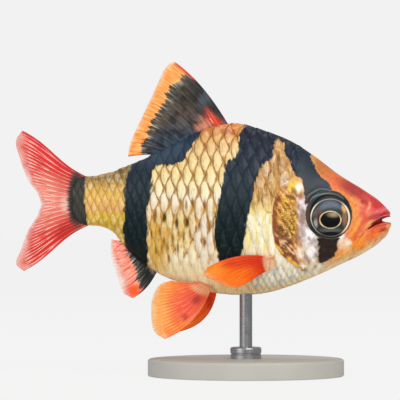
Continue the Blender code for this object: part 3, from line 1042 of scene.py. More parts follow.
    def lay(self, points: Array, lattice: Array, size: Pair, wobble: Array) -> tuple[Array, ...]:
        """Lays one group of scales on the right flank.

        Args:
            points: One plate's own points.
            lattice: Each scale's column and row.
            size: The scales' size and height beside the flank's.
            wobble: Three random numbers for each scale: along, across and its tone.

        Returns:
            For each point of each scale: its place, its place on the plate with the tone, the scale's seat
            on the body and its place on the chart.
        """
        fine, height = size
        away, v = points[None, :, 0], points[None, :, 1]
        tone = np.repeat(wobble[:, None, 2], len(points), axis=1)
        column = lattice[:, None, 0] - away * fine + wobble[:, None, 0] * self.stray[0] * fine
        row = lattice[:, None, 1] + v * fine * self.breadth + wobble[:, None, 1] * self.stray[1] * fine
        length = np.interp(column, self.columns, self.lengths)
        girth = self.girth_of(row, length)
        turn = self.turn_at(length, girth)
        places = self.form.point(length, turn)
        scale, root = self.rise(points, length, girth, tone)
        rise = scale * height + root - self.form.inset(places[..., 1])
        places = places + self.form.normal(length, turn) * rise[..., None]
        shapes = np.stack([away + 0 * tone, v + 0 * tone, tone], axis=-1)
        seat_length = np.interp(lattice[:, 0] - 0.45 * fine, self.columns, self.lengths)
        seat_turn = self.turn_at(seat_length, self.girth_of(lattice[:, 1], seat_length))
        middle = self.form.point(seat_length, seat_turn)
        seat = np.stack([middle[:, 0], middle[:, 2], np.full(len(lattice), fine)], axis=-1)
        seats = np.repeat(seat[:, None], len(points), axis=1)
        across, up = 0.02 + 0.96 * seat_length / self.form.end, 0.5 + 0.48 * seat_turn / math.pi
        inner = np.stack([points[:, 0] / self.overlap - 0.5, points[:, 1] * 0.5], axis=-1) * self.patch
        return places, shapes, seats, np.stack([across, up], axis=-1)[:, None] + inner[None]

    def join(self, name: str, laid: tuple[Array, ...], corners: Array, counts: Array) -> bpy.types.Object:
        """Joins laid scales in one mesh, with their notes and their chart.

        Args:
            name: The piece's name.
            laid: What lay gives, for all the scales of a flank.
            corners: The corners of all of one plate's faces in a row.
            counts: Each face's number of corners.

        Returns:
            The joined scales.
        """
        places, shapes, seats, patches = laid
        total, each = places.shape[:2]
        mesh = bpy.data.meshes.new(name)
        mesh.vertices.add(total * each)
        mesh.loops.add(total * len(corners))
        mesh.polygons.add(total * len(counts))
        all_corners = (corners[None] + np.arange(total)[:, None] * each).ravel()
        starts = np.concatenate([[0], np.cumsum(np.tile(counts, total))[:-1]])
        mesh.vertices.foreach_set("co", to_world(places).astype(np.float32).ravel())
        mesh.loops.foreach_set("vertex_index", all_corners.astype(np.int32))
        mesh.polygons.foreach_set("loop_start", starts.astype(np.int32))
        for note, values in (("scale_shape", shapes), ("scale_seat", seats)):
            layer = mesh.attributes.new(note, "FLOAT_VECTOR", "POINT")
            layer.data.foreach_set("vector", values.astype(np.float32).ravel())
        mesh.update(calc_edges=True)
        mesh.validate()
        chart = mesh.uv_layers.new(name="OFBake")
        chart.data.foreach_set("uv", patches.reshape(-1, 2)[all_corners].astype(np.float32).ravel())
        bm = bmesh.new()
        bm.from_mesh(mesh)
        bmesh.ops.recalc_face_normals(bm, faces=bm.faces)
        bm.to_mesh(mesh)
        bm.free()
        return placed(mesh)

    def plates(self, name: str, side: Side, groups: list[tuple[list, Pair]]) -> bpy.types.Object:
        """Lays all the scales of one flank and joins them in one mesh.

        Args:
            name: The piece's name.
            side: The flank.
            groups: Lists of scales, each with their size and their height beside the flank's.

        Returns:
            The joined scales.
        """
        points, corners, counts = self.template()
        rng = np.random.default_rng(self.seed)
        laid = []
        for scales, size in groups:
            wobble = rng.uniform(-1.0, 1.0, (len(scales), 3))
            laid.append(self.lay(points, np.array(scales), size, wobble))
        places, *notes = (np.concatenate(part) for part in zip(*laid))
        places[..., 1] *= -side.value
        return self.join(name, (places, *notes), corners, counts)

    def build(self) -> list[bpy.types.Object]:
        """Makes the scales of both flanks.

        Returns:
            The two joined pieces.
        """
        edge = self.lines.head_edge()
        base = self.lines.pectoral_base

        def breast(length: float, height: float) -> bool:
            """Tells the chest's small scales from the flank's."""
            top = -8.6 - 0.35 * max(length - 20.5, 0.0) - 4.0 * max(length - 23.5, 0.0)
            return height < top and length < 24.5

        def open_skin(length: float, height: float) -> bool:
            """Tells where the body carries scales at all."""
            behind = float(signed_reach(np.array([length]), np.array([height]), edge)[0])
            bare = math.hypot((length - base[0]) / 1.1, (height - base[1]) / 1.6) < 1.0
            return behind > 0.15 and not bare

        body = self.lattice(1.0, lambda s, h: open_skin(s, h) and not breast(s, h))
        chest = self.lattice(0.5, lambda s, h: open_skin(s, h) and breast(s, h))
        pieces = []
        for name, side in (("scales_right", Side.RIGHT), ("scales_left", Side.LEFT)):
            pieces.append(self.plates(name, side, [(body, (1.0, 1.0)), (chest, (0.5, 0.75))]))
        log.info("scales laid on each flank: %d large, %d small", len(body), len(chest))
        return pieces


# Fins


@dataclass(frozen=True)
class FinForm:
    """One fin as a fan of rays between its root and its margin, close to its solid's outline."""

    name: str
    node: str
    root: Knots
    margin: Knots
    bow: tuple[Pair, Pair]
    rays: int
    forks: Pair = (0.42, 0.74)
    splay: Pair | None = None
    side: Side | None = None
    root_out: float | None = None
    sink: float = 0.9
    membrane: float = 0.11
    ray_height: float = 0.2
    notch: float = 0.035
    sway: float = 0.0
    per_ray: int = 17
    steps: int = 56
    shades: str = ""

    def fan(self, u: Array, v: Array) -> Array:
        """Gives places on the fin's middle sheet.

        Args:
            u: Share across the fan, from its first ray to its last.
            v: Share along the ray, from root to margin.

        Returns:
            Length, out and height for each place, in millimetres.
        """
        start, end = path_point(self.root, u), path_point(self.margin, u)
        early, late = np.array(self.bow[0]), np.array(self.bow[1])
        bend = early + (late - early) * u[..., None]
        rise = 4.0 * v * (1.0 - v)
        flat = start + (end - start) * v[..., None] + bend * np.where(v > 0.0, rise, 0.0)[..., None]
        swing = self.sway * np.sin(2 * np.pi * np.clip(v, 0.0, 1.0))
        flat[..., 1] -= swing * (bell(u, 0.0, 0.2) - bell(u, 1.0, 0.2))
        out = np.zeros_like(u)
        if self.splay is not None:
            reach = np.hypot(*np.moveaxis(flat - start, -1, 0)) * np.sign(v)
            angle = np.radians(self.splay[0] + (self.splay[1] - self.splay[0]) * u)
            rooted = self.root_out
            if rooted is None:
                rooted = BodyForm().flank(start[..., 0], start[..., 1])
            out = self.side.value * (rooted + reach * np.tan(angle))
        return np.stack([flat[..., 0], out, flat[..., 1]], axis=-1)

    def ray_share(self, u: Array, v: Array) -> Array:
        """Tells how near places are to a ray, which forks twice on its way out.

        Args:
            u: Share across the fan.
            v: Share along it.

        Returns:
            The height of the ray over the membrane, from 0 to 1.
        """
        cell = u * self.rays
        offset = cell - np.floor(cell) - 0.5
        first = 0.25 * ease(v, self.forks[0], min(self.forks[0] + 0.5, 1.0))
        second = 0.125 * ease(v, self.forks[1], min(self.forks[1] + 0.35, 1.1))
        away = np.full(np.shape(u), 9.0)
        for big in (-1.0, 1.0):
            for small in (-1.0, 1.0):
                away = np.minimum(away, np.abs(offset - big * first - small * second))
        width = 0.17 - 0.115 * np.clip(v, 0.0, 1.0)
        width = np.where((first > 0.02) & (first < 0.12), width * 1.1, width)
        return np.exp(-((away / width) ** 2))

    def build(self) -> bpy.types.Object:
        """Makes the fin as one closed sheet with its rays standing on both faces.

        Returns:
            The fin.
        """
        across = self.rays * self.per_ray + 1
        u_line = np.linspace(0.0, 1.0, across)
        depth = self.sink / float(np.mean(np.linalg.norm(
            path_point(self.margin, u_line) - path_point(self.root, u_line), axis=-1)))
        v_line = np.concatenate([[-depth], np.linspace(-depth, 1.0, self.steps), [1.0]])
        u, v = np.meshgrid(u_line, v_line, indexing="xy")
        ray_tip = self.ray_share(u, np.ones_like(u))
        cut = 1.0 - self.notch * (1.0 - ray_tip) * np.sin(np.pi * np.clip(u, 0.02, 0.98)) ** 0.3
        v_cut = np.where(v > 0.0, v * cut, v)
        places = self.fan(u, v_cut)
        ray = self.ray_share(u, v)
        step = 1e-3
        du = self.fan(np.clip(u + step, 0, 1), v_cut) - self.fan(np.clip(u - step, 0, 1), v_cut)
        dv = self.fan(u, v_cut + step) - self.fan(u, v_cut - step)
        normal = np.cross(du, dv)
        normal /= np.maximum(np.linalg.norm(normal, axis=-1, keepdims=True), 1e-9)
        taper = 1.0 - 0.62 * np.clip(v, 0.0, 1.0)
        lead = np.maximum(bell(u, 0.0, 0.5 / self.rays), 0.5 * bell(u, 1.0, 0.3 / self.rays))
        half = 0.5 * self.membrane * (0.75 + 0.25 * taper)
        half = half + self.ray_height * taper * np.maximum(ray, 0.9 * lead)
        rim = np.minimum(ease(u, 0.0, 0.004), ease(u, 1.0, 0.996))
        half = half * rim
        half[0] = half[-1] = 0.0
        top = places + normal * half[..., None]
        bottom = places - normal * half[..., None]
        notes = np.stack([u, v, ray], axis=-1)
        loop, notes = (
            np.concatenate([upper, lower[:, -2:0:-1], upper[:, :1]], axis=1)
            for upper, lower in ((top, bottom), (notes, notes))
        )
        piece = Sheet(self.name, to_world(loop), {"fin_place": notes}).build()
        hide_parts(self.node)
        return piece


PECTORAL: dict[str, object] = dict(
    root=((21.6, -7.5), (21.9, -8.7), (21.8, -9.9)), splay=(13.0, 26.0),
    margin=((31.9, -9.3), (32.5, -10.4), (30.6, -11.6), (28.2, -12.7), (26.2, -12.6), (24.2, -11.3)),
    bow=((0.0, 1.0), (0.0, -0.05)), rays=11, notch=0.012, forks=(0.3, 0.65),
)
FINS: tuple[FinForm, ...] = (
    FinForm(
        name="dorsal_sail", node="dorsal_fin", root=((28.4, 15.6), (31.5, 14.9), (36.0, 12.8), (41.5, 10.1)),
        bow=((-0.1, 1.0), (0.0, 0.1)), rays=12, notch=0.006,
        margin=(
            (37.5, 26.2), (38.5, 25.85), (39.3, 24.9), (40.1, 23.3), (41.2, 20.95), (42.35, 18.5),
            (43.5, 16.0), (44.5, 13.9), (45.15, 12.3), (45.5, 10.9), (45.6, 9.75),
        ),
    ),
    FinForm(
        name="anal_sail", node="anal_fin", root=((40.7, -10.35), (43.2, -8.4), (47.0, -4.75)),
        margin=((44.9, -14.8), (46.3, -14.1), (47.5, -11.2), (48.6, -7.4), (48.6, -4.5)),
        bow=((-0.25, -0.5), (0.0, -0.1)), rays=9, notch=0.05, steps=40,
    ),
    FinForm(
        name="tail_sail", node="caudal_fin",
        root=((52.9, 6.35), (54.9, 5.3), (55.6, 2.15), (54.8, -1.1), (52.5, -2.15)),
        bow=((0.1, 0.0), (0.1, 0.1)), sway=0.34, rays=19, notch=0.008, forks=(0.3, 0.62), per_ray=15,
        steps=60,
        margin=(
            (63.9, 14.3), (64.95, 12.9), (64.3, 9.2), (62.9, 5.6), (61.1, 2.9), (60.75, 1.5), (61.2, 0.0),
            (63.0, -3.1), (64.2, -6.3), (64.95, -9.0), (63.7, -10.1),
        ),
    ),
    FinForm(name="pectoral_sail_right", node="pectoral_fin_right", side=Side.RIGHT, **PECTORAL),
    FinForm(name="pectoral_sail_left", node="pectoral_fin_left", side=Side.LEFT, **PECTORAL),
    FinForm(
        name="pelvic_sail_right", node="pelvic_fin_right", side=Side.RIGHT, splay=(20.0, 12.0), root_out=2.1,
        root=((31.3, -13.2), (32.2, -12.5), (33.2, -11.9)),
        margin=((39.2, -21.6), (40.8, -20.6), (41.6, -17.3), (41.3, -14.4), (40.0, -12.2), (38.0, -11.6)),
        bow=((-0.9, -1.0), (0.0, -0.25)), rays=10, notch=0.015, forks=(0.28, 0.62),
    ),
    FinForm(
        name="pelvic_sail_left", node="pelvic_fin_left", side=Side.LEFT, splay=(20.0, 12.0), root_out=2.1,
        root=((30.2, -13.5), (31.3, -12.8), (32.4, -12.1)),
        margin=((36.9, -20.8), (38.6, -20.1), (39.8, -17.4), (39.9, -15.0), (38.9, -12.7), (37.2, -12.0)),
        bow=((-1.25, -1.2), (0.0, 0.25)), rays=10, notch=0.015, forks=(0.28, 0.62), shades="far",
    ),
)


# Eyes


@dataclass(frozen=True)
class Eye:
    """One eyeball: a shallow clear-coated front over a painted iris, on a deep inner half."""

    side: Side
    form: EyeForm = field(default_factory=EyeForm)
    inner_depth: float = 2.6
    around: int = 128
    front_rows: int = 56
    back_rows: int = 18

    def build(self) -> bpy.types.Object:
        """Makes the eyeball, with its own forward and up places noted for the iris.

        Returns:
            The eye.
        """
        front = np.linspace(0.0, 1.0, self.front_rows)
        back = np.linspace(0.0, math.pi / 2, self.back_rows)[1:]
        radius = np.concatenate([self.form.radius * front, self.form.radius * np.cos(back)])
        dome = self.form.cornea_depth * (1.0 - front**2.3) ** 0.62
        depth = np.concatenate([dome, -self.inner_depth * np.sin(back)])
        turn = np.linspace(0.0, 2.0 * math.pi, self.around + 1)
        across, up = radius[:, None] * np.cos(turn), radius[:, None] * np.sin(turn)
        local = np.stack([across, up, np.repeat(depth[:, None], len(turn), 1)], axis=-1)
        local[:, -1] = local[:, 0]
        there = np.array(self.form.frame_of(self.side))
        world = (local @ there[:3, :3].T + there[:3, 3]) * MM
        label = self.side.name.lower()
        eye = Sheet(f"eyeball_{label}", world, {"eye_place": local}).build()
        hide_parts(f"eye_{label}")
        return eye


# Markings


@dataclass(frozen=True)
class Spot:
    """A soft patch of colour on the side view, placed in picture columns and rows."""

    colour: Triple
    column: float
    row: float
    wide: float
    high: float
    turn: float = 0.0
    edge: float = 0.5
    strength: float = 1.0


@dataclass(frozen=True)
class Stroke:
    """A soft line of colour on the side view, along knots of picture columns and rows."""

    colour: Triple
    knots: Knots
    half: float
    strength: float = 1.0
    upright: bool = False
    edge: float = 0.5


@dataclass(frozen=True)
class Bar:
    """A dark bar: its tailward and headward edges, as knots of picture columns and rows."""

    tailward: Knots
    headward: Knots
    top: float = 20.0
    foot: float = 400.0
    softness: float = 0.42


Mark = Spot | Stroke


class MarkingKit:
    """Lays soft patches and lines of colour on the side view, for the skin, the scales and the fins."""

    def __init__(self) -> None:
        """Starts with the soft patch that every spot uses."""
        self.blob_tree = self.make_blob()

    @staticmethod
    def make_blob() -> bpy.types.NodeTree:
        """Makes the group that gives a soft ellipse on a flat place.

        Returns:
            The group, with Place, Centre, Radii, Turn and Edge in and Mask out.
        """
        tree = bpy.data.node_groups.new("soft_patch", "ShaderNodeTree")
        face = tree.interface
        for name in ("Place", "Centre", "Radii"):
            face.new_socket(name, in_out="INPUT", socket_type="NodeSocketVector")
        for name in ("Turn", "Edge"):
            face.new_socket(name, in_out="INPUT", socket_type="NodeSocketFloat")
        face.new_socket("Mask", in_out="OUTPUT", socket_type="NodeSocketFloat")
        bench = Bench(tree)
        given = bench.flows(bench.node("NodeGroupInput"))
        result = bench.node("NodeGroupOutput")
        offset = bench.vector("SUBTRACT", given["Place"], given["Centre"])
        turned = bench.node("ShaderNodeVectorRotate", rotation_type="Z_AXIS")
        bench.feed(turned.inputs["Vector"], offset)
        bench.feed(turned.inputs["Angle"], given["Turn"] * -1)
        reach = bench.vector("LENGTH", bench.vector("DIVIDE", turned.outputs[0], given["Radii"]))
        mask = reach.ease(1 + given["Edge"], 1 - given["Edge"])
        bench.feed(result.inputs["Mask"], mask)
        return tree

    def spot(self, place: Flow, spot: Spot) -> Flow:
        """Adds one spot's mask to a tree.

        Args:
            place: The flat place, in millimetres of length and height.
            spot: The spot to lay.

        Returns:
            The mask, up to the spot's strength.
        """
        bench = place.bench
        length, height = side_place(spot.column, spot.row)
        made = bench.group(
            self.blob_tree, Place=place, Centre=(length, height, 0),
            Radii=(spot.wide * PICTURE_PITCH, spot.high * PICTURE_PITCH, 1),
            Turn=math.radians(spot.turn), Edge=spot.edge,
        )
        return made["Mask"] * spot.strength

    def stroke(self, place: Flow, line: Stroke) -> Flow:
        """Adds one line's mask to a tree.

        Args:
            place: The flat place, in millimetres of length and height.
            line: The line to lay.

        Returns:
            The mask, up to the line's strength.
        """
        bench = place.bench
        length, height, _ = bench.split(place)
        knots = side_knots(*line.knots)
        at, other = (height, length) if line.upright else (length, height)
        if line.upright:
            knots = tuple((rise, run) for run, rise in knots)
        low, high = min(knots)[0], max(knots)[0]
        away = abs(other - bench.curve(at, knots))
        half = line.half * PICTURE_PITCH
        mask = away.ease(half * (1 + line.edge), half * (1 - line.edge))
        mask = mask * at.ease(low - half, low + half)
        mask = mask * at.ease(high + half, high - half)
        return mask * line.strength

    def mask(self, place: Flow, mark: Mark) -> Flow:
        """Adds a mark's mask, whichever kind it is."""
        return self.spot(place, mark) if isinstance(mark, Spot) else self.stroke(place, mark)

    def lay(self, under: Value, place: Flow, marks: tuple[Mark, ...]) -> Flow:
        """Lays marks over a colour, one on another."""
        bench = place.bench
        for mark in marks:
            under = bench.mix(self.mask(place, mark), under, mark.colour)
        return under


BARS: tuple[Bar, ...] = (
    Bar(
        tailward=(
            (279, 126), (279.6, 138.6), (284.4, 143), (284.4, 154.6), (289.8, 161.7), (292.2, 170.6),
            (295.4, 176.8), (300.8, 178.6), (302.4, 184.8), (303.3, 195.4), (304.5, 210),
        ),
        headward=(
            (345, 140), (314, 150), (310.6, 156.5), (313, 165), (317.6, 173.2), (325.9, 181.5), (330.5, 190),
            (332, 200),
        ),
        foot=205, softness=0.3,
    ),
    Bar(
        tailward=(
            (249, 118), (244.8, 127.3), (239.8, 134.7), (237.3, 151.3), (226.5, 164.6), (221.6, 182.8),
            (218.2, 204.4), (214.6, 229.3), (215.6, 245.8), (218.4, 259.1),
        ),
        headward=(
            (281, 126), (278.6, 138.8), (275, 142.6), (272.9, 152.8), (269.6, 160), (263.4, 164.5),
            (259.3, 173.2), (254.9, 183), (252.2, 197.2), (248.7, 208.8), (245.2, 229.3), (243.2, 245.8),
            (241, 258),
        ),
        foot=263,
    ),
    Bar(
        tailward=(
            (133, 150), (131, 166.2), (126, 179.5), (124.4, 196.1), (124.6, 212.7), (123.4, 229.3),
            (124.2, 241), (128, 252), (134, 266), (138, 280),
        ),
        headward=(
            (158, 150), (155.9, 162.9), (151.7, 182.8), (150.1, 199.4), (146.8, 216), (147.6, 232.6),
            (147.6, 249.2), (148.4, 262), (147, 280),
        ),
    ),
    Bar(
        tailward=((60, 168), (62, 178), (64.5, 190), (64.5, 205), (64, 218), (64, 228)),
        headward=((83, 168), (85.5, 177), (84.7, 190), (84.9, 205), (86.3, 216), (88.7, 226)),
        softness=0.35,
    ),
    Bar(
        tailward=((317, 232), (317.4, 243), (317.8, 250.6), (316.6, 258), (317.4, 264)),
        headward=((340, 232), (337.4, 243), (336.4, 250.6), (331.4, 258), (325, 264)), top=236, foot=263,
        softness=0.6,
    ),
)


@dataclass(frozen=True)
class FlankColours:
    """Runs of colour from the back to the belly, as picture rows and display colours."""

    front: Run = (
        (136, (190, 138, 74)), (160, (204, 150, 84)), (182, (222, 172, 96)), (196, (230, 188, 108)),
        (208, (238, 214, 138)), (224, (242, 234, 178)), (246, (244, 238, 202)), (262, (240, 232, 198)),
        (276, (232, 222, 186)), (287, (238, 200, 144)),
    )
    # The whitish rows from 187 to 213 are the scales' own pale silver, brightened further as a painted
    # highlight along the mid-flank.
    middle: Run = (
        (124, (214, 138, 72)), (138, (224, 176, 108)), (152, (232, 202, 144)), (170, (238, 212, 144)),
        (187, (242, 228, 180)), (200, (240, 230, 210)), (213, (230, 208, 162)), (226, (228, 196, 122)),
        (244, (236, 214, 146)), (258, (250, 240, 208)), (268, (244, 230, 184)), (280, (244, 220, 168)),
        (291, (244, 204, 142)),
    )
    rear: Run = (
        (168, (92, 76, 50)), (178, (132, 106, 62)), (188, (212, 170, 84)), (198, (236, 192, 96)),
        (205, (230, 176, 98)), (210, (222, 168, 98)), (215, (222, 184, 48)), (224, (200, 164, 34)),
        (240, (214, 178, 80)),
    )
    # Slate blue at the bars' upper part is painted reflection of pale light over their own near-black, which
    # turns deep green lower down.
    bar: Run = (
        (125, (26, 31, 47)), (160, (34, 45, 61)), (190, (38, 52, 60)), (215, (20, 36, 40)),
        (245, (8, 28, 27)), (275, (20, 30, 28)),
    )


BAR_MARKS: tuple[Mark, ...] = (
    Spot((44, 31, 23), 326, 251, 14, 16, 0, 0.4),
    Spot((74, 56, 50), 306, 214, 4, 20, 0, 0.6),
    Spot((84, 78, 76), 351, 216, 4, 18, 0, 0.6),
    # Painted highlights: two pale grey arcs on the skin folds above the eye.
    Stroke((136, 140, 134), ((343, 199.5), (337, 195.6), (326.6, 193.6), (316, 195.6), (309.7, 200.6)), 0.8,
           0.55, False, 0.8),
    Stroke((124, 130, 128), ((329.7, 190.6), (321.3, 189.2), (312.9, 191.8), (305.5, 197.6)), 0.7, 0.5,
           False, 0.8),
    Spot((64, 74, 92), 325, 183, 9, 4, 20, 0.8, 0.6),
    Spot((74, 70, 60), 78, 203, 12, 26, 0, 0.6, 0.75),
    Spot((62, 80, 100), 166, 149, 27, 13, -20, 0.6, 0.8),
)
HEAD_MARKS: tuple[Mark, ...] = (
    Spot((242, 146, 78), 346, 212, 30, 34, 0, 0.5),
    Spot((198, 118, 66), 323, 168, 20, 8, 36, 0.6),
    Spot((230, 116, 68), 339, 183, 14, 7, 34, 0.6),
    Spot((166, 62, 56), 354.5, 190, 18, 7, 34, 0.6),
    Spot((186, 66, 64), 368, 198.5, 15, 5, 36, 0.6, 0.9),
    Spot((206, 48, 58), 380, 209, 14, 10, 36, 0.5, 0.95),
    Spot((232, 102, 86), 363, 211, 8, 12, 10, 0.7, 0.8),
    Spot((244, 162, 76), 353.5, 211, 4.5, 11, 0, 0.7, 0.8),
    # Painted highlight: a light pink band along the top of the upper lip.
    Spot((240, 128, 126), 380, 210.5, 8, 2.2, -18, 0.8, 0.7),
    Spot((172, 30, 52), 378, 216.3, 11.5, 2.8, -17, 0.5, 0.95),
    Spot((172, 50, 56), 363.5, 201.8, 3.4, 2.4, 0, 0.7, 0.8),
    # Painted highlight: a small pinkish-white glint by the front nostril.
    Spot((240, 164, 140), 369, 204, 1.5, 3, 0, 0.8, 0.55),
    Spot((190, 64, 66), 375, 202, 6, 2, 38, 0.8, 0.7),
    # Painted shade and highlight at the gape: a dark red line for the shaded underside of the upper lip over
    # the mouth's red lining, and a pale line above it as painted highlight on the lip's lower edge.
    Stroke((132, 18, 22), ((388.5, 217.8), (382, 218.4), (376, 221.2), (370.4, 225.2)), 1.7, 0.95),
    Stroke((240, 168, 144), ((391, 214.4), (384.3, 215.4), (377, 218.4), (371, 222.6), (366.5, 226.4)),
           0.45, 0.55),
    Spot((232, 74, 88), 377, 227.8, 8.5, 2.3, -20, 0.6, 0.9),
    Stroke((206, 30, 50), ((391.2, 223.4), (381.3, 225.3), (371, 229.6)), 0.8, 0.9),
    Spot((246, 112, 40), 373, 233.5, 11, 4.4, -26, 0.6, 0.9),
    Spot((176, 54, 32), 383.2, 229.4, 4.8, 1.9, -24, 0.7, 0.85),
    Spot((248, 176, 110), 389.6, 227.8, 2.6, 4.2, -30, 0.6, 0.9),
    Spot((250, 146, 22), 357, 243, 7.5, 9, -40, 0.7, 0.95),
    Spot((244, 166, 74), 345, 252, 11, 5, -24, 0.7, 0.8),
    Stroke((224, 80, 64), ((365.5, 216), (361, 225), (356, 234), (352.8, 241)), 2.3, 0.65, True, 0.8),
    Stroke((252, 172, 62), ((359.5, 218), (355.5, 227), (351, 235)), 1.6, 0.65, True, 0.8),
    Stroke((210, 62, 48), ((368.5, 226.5), (363.5, 232), (358.6, 238)), 1.1, 0.6, True, 0.8),
    # Painted highlights: a pale patch, a white spot and a pale streak on the lower cheek.
    Spot((252, 216, 182), 342.5, 242, 6, 7, -20, 0.6, 0.85),
    Spot((255, 250, 248), 347.6, 243, 2.8, 2.6, 0, 0.8, 0.9),
    Spot((255, 244, 232), 341, 237.6, 4.6, 2.4, -34, 0.7, 0.8),
    # Painted shade: a tan band along the chin and throat edge where the underside curves away, with a tan
    # patch above it.
    Stroke((206, 180, 128), (
        (390, 231), (384, 236.5), (374, 244.6), (362, 251.4), (348, 257.6), (330, 266), (310, 273),
    ), 2.4, 0.85, False, 0.6),
    Spot((186, 162, 108), 349, 256, 12, 2.4, -24, 0.8, 0.6),
)
GILL_MARKS: tuple[Mark, ...] = (
    Spot((188, 170, 164), 307, 222, 12, 30, -6, 0.3),
    Spot((202, 184, 164), 314, 251, 10, 14, 20, 0.5),
    Spot((250, 246, 250), 306.5, 203, 5.5, 6.5, 0, 0.7, 0.95),
    Spot((170, 142, 124), 302, 220, 2.8, 9, 0, 0.7, 0.85),
    Spot((160, 126, 118), 305.8, 214, 1.8, 8, 0, 0.7, 0.55),
    Spot((253, 250, 252), 308.5, 235, 3.6, 9, 16, 0.7, 0.95),
    Spot((184, 170, 180), 313.4, 242, 2.6, 7, 24, 0.7, 0.7),
    Spot((253, 250, 250), 310, 251, 4, 7, 30, 0.7, 0.9),
    Spot((242, 234, 202), 302, 252, 4, 5, 0, 0.7, 0.8),
    Spot((208, 178, 130), 318, 265, 13, 5, -10, 0.7, 0.85),
    Spot((182, 122, 62), 284.5, 222, 12.8, 35, -2, 0.26),
    Spot((146, 98, 72), 285, 238, 7.5, 13, 12, 0.6, 0.9),
    Spot((214, 156, 58), 283, 208, 9, 14, 0, 0.7, 0.75),
    Spot((250, 210, 40), 292.6, 227, 2.2, 8, 6, 0.7, 0.8),
    Spot((176, 104, 52), 292, 195, 12, 3.4, 6, 0.7, 0.85),
    Spot((250, 200, 50), 286.5, 200.8, 4.8, 1.5, 0, 0.7, 0.8),
    Stroke((142, 64, 40), ((276.5, 198), (273.8, 210), (273.6, 222), (274.5, 233), (277.5, 243)), 2.3, 0.85,
           True, 0.6),
    Stroke((226, 164, 96), ((270.9, 203), (270.4, 220), (270.9, 238)), 1.1, 0.9, True),
    Stroke((106, 56, 40), ((278.5, 242), (284, 249), (291, 256.5), (299, 263.5)), 1.6, 0.75),
    Stroke((240, 216, 192), ((280, 239), (286, 246.5), (292.5, 252.8), (298.5, 258)), 0.6, 0.85),
    Stroke((230, 200, 170), ((285, 240), (290, 246), (295.5, 251)), 0.5, 0.8),
    Spot((238, 196, 96), 295.6, 185.2, 8, 8.4, 20, 0.45),
    Spot((254, 250, 240), 298.2, 186.6, 4, 5.6, 15, 0.6),
    Spot((250, 222, 36), 292.4, 184.6, 3.2, 6.6, 30, 0.7, 0.9),
    Stroke((206, 128, 54), ((300.6, 178.4), (303, 184), (303.8, 192)), 0.9, 0.8, True),
)
CHEST_MARKS: tuple[Mark, ...] = (
    # Painted light: a pale sandy patch on the chest, lightened to offset the downward-facing chest's shade.
    Spot((222, 218, 192), 282, 276, 30, 10, -8, 0.5, 0.85),
    Spot((222, 210, 178), 308, 269, 16, 6, -16, 0.6, 0.8),
    Spot((236, 190, 150), 268, 262.6, 6.5, 8.5, 0, 0.4),
    Stroke((206, 148, 112), ((265, 256), (265.6, 262), (265, 269)), 0.5, 0.7, True),
    Stroke((206, 148, 112), ((268.6, 255), (269.4, 262), (268.6, 270)), 0.5, 0.7, True),
    Stroke((253, 244, 216), ((267, 249.5), (274, 254.5), (281, 260), (291, 266)), 2.9, 0.95),
    Stroke((246, 184, 18), (
        (271.6, 239.6), (277, 246.8), (281.6, 251.8), (288, 258.2), (295, 264.4), (303, 269.4),
    ), 1.5, 0.95),
    Spot((146, 96, 66), 302.5, 269.4, 3.4, 1.8, -20, 0.7, 0.8),
)
FLANK_MARKS: tuple[Mark, ...] = (
    Spot((218, 122, 58), 229, 129.5, 12, 6, 8, 0.5),
    Spot((244, 214, 190), 222, 127, 4, 2.4, 0, 0.7, 0.8),
    Spot((140, 54, 38), 230.5, 132.5, 4.4, 2.2, 0, 0.8, 0.7),
    Spot((224, 120, 80), 205, 130, 12, 5, 18, 0.7, 0.6),
    Spot((248, 244, 246), 281.6, 165.4, 2.4, 5.4, 0, 0.6, 0.9),
    Spot((240, 236, 244), 283.4, 181.2, 4, 5.2, 0, 0.5),
    Spot((112, 100, 146), 283.8, 180.4, 1.8, 2.3, 0, 0.6, 0.85),
    Spot((228, 208, 194), 263.4, 174, 2.4, 6.4, 0, 0.7, 0.7),
    Spot((238, 216, 156), 273.6, 177.7, 2.2, 7, 0, 0.7, 0.6),
    Spot((220, 168, 56), 158, 242, 11, 26, 0, 0.5, 0.75),
    Spot((240, 232, 226), 204, 236, 11, 22, 0, 0.6, 0.7),
)

LATERAL_MARKS: tuple[Mark, ...] = tuple(
    Spot((180, 132, 70), column, row, 1.5, 6.5, turn=4, edge=0.8, strength=0.7)
    for column, row in ((169.6, 203), (180.7, 204), (192.6, 204.6), (204.6, 205.6), (214, 205))
) + tuple(
    Spot((66, 44, 20), column, row, 1.7, 4.6, turn=4, edge=0.55, strength=0.9)
    for column, row in ((164.6, 217.4), (177, 223.4), (187.4, 222.9))
) + tuple(
    Spot((142, 88, 26), column, row, 1.2, 4.6, turn=-2, edge=0.65, strength=0.8)
    for column, row in (
        (154.5, 219), (160, 232), (164.5, 240), (168, 247), (173, 238), (178, 247.5),
        (184, 236), (190, 234), (204.5, 242), (156, 250), (169, 258), (151.5, 234),
        (186.5, 205.5), (193, 203), (204.5, 205), (199, 225.6), (209.2, 227.4), (156, 214),
    )
)


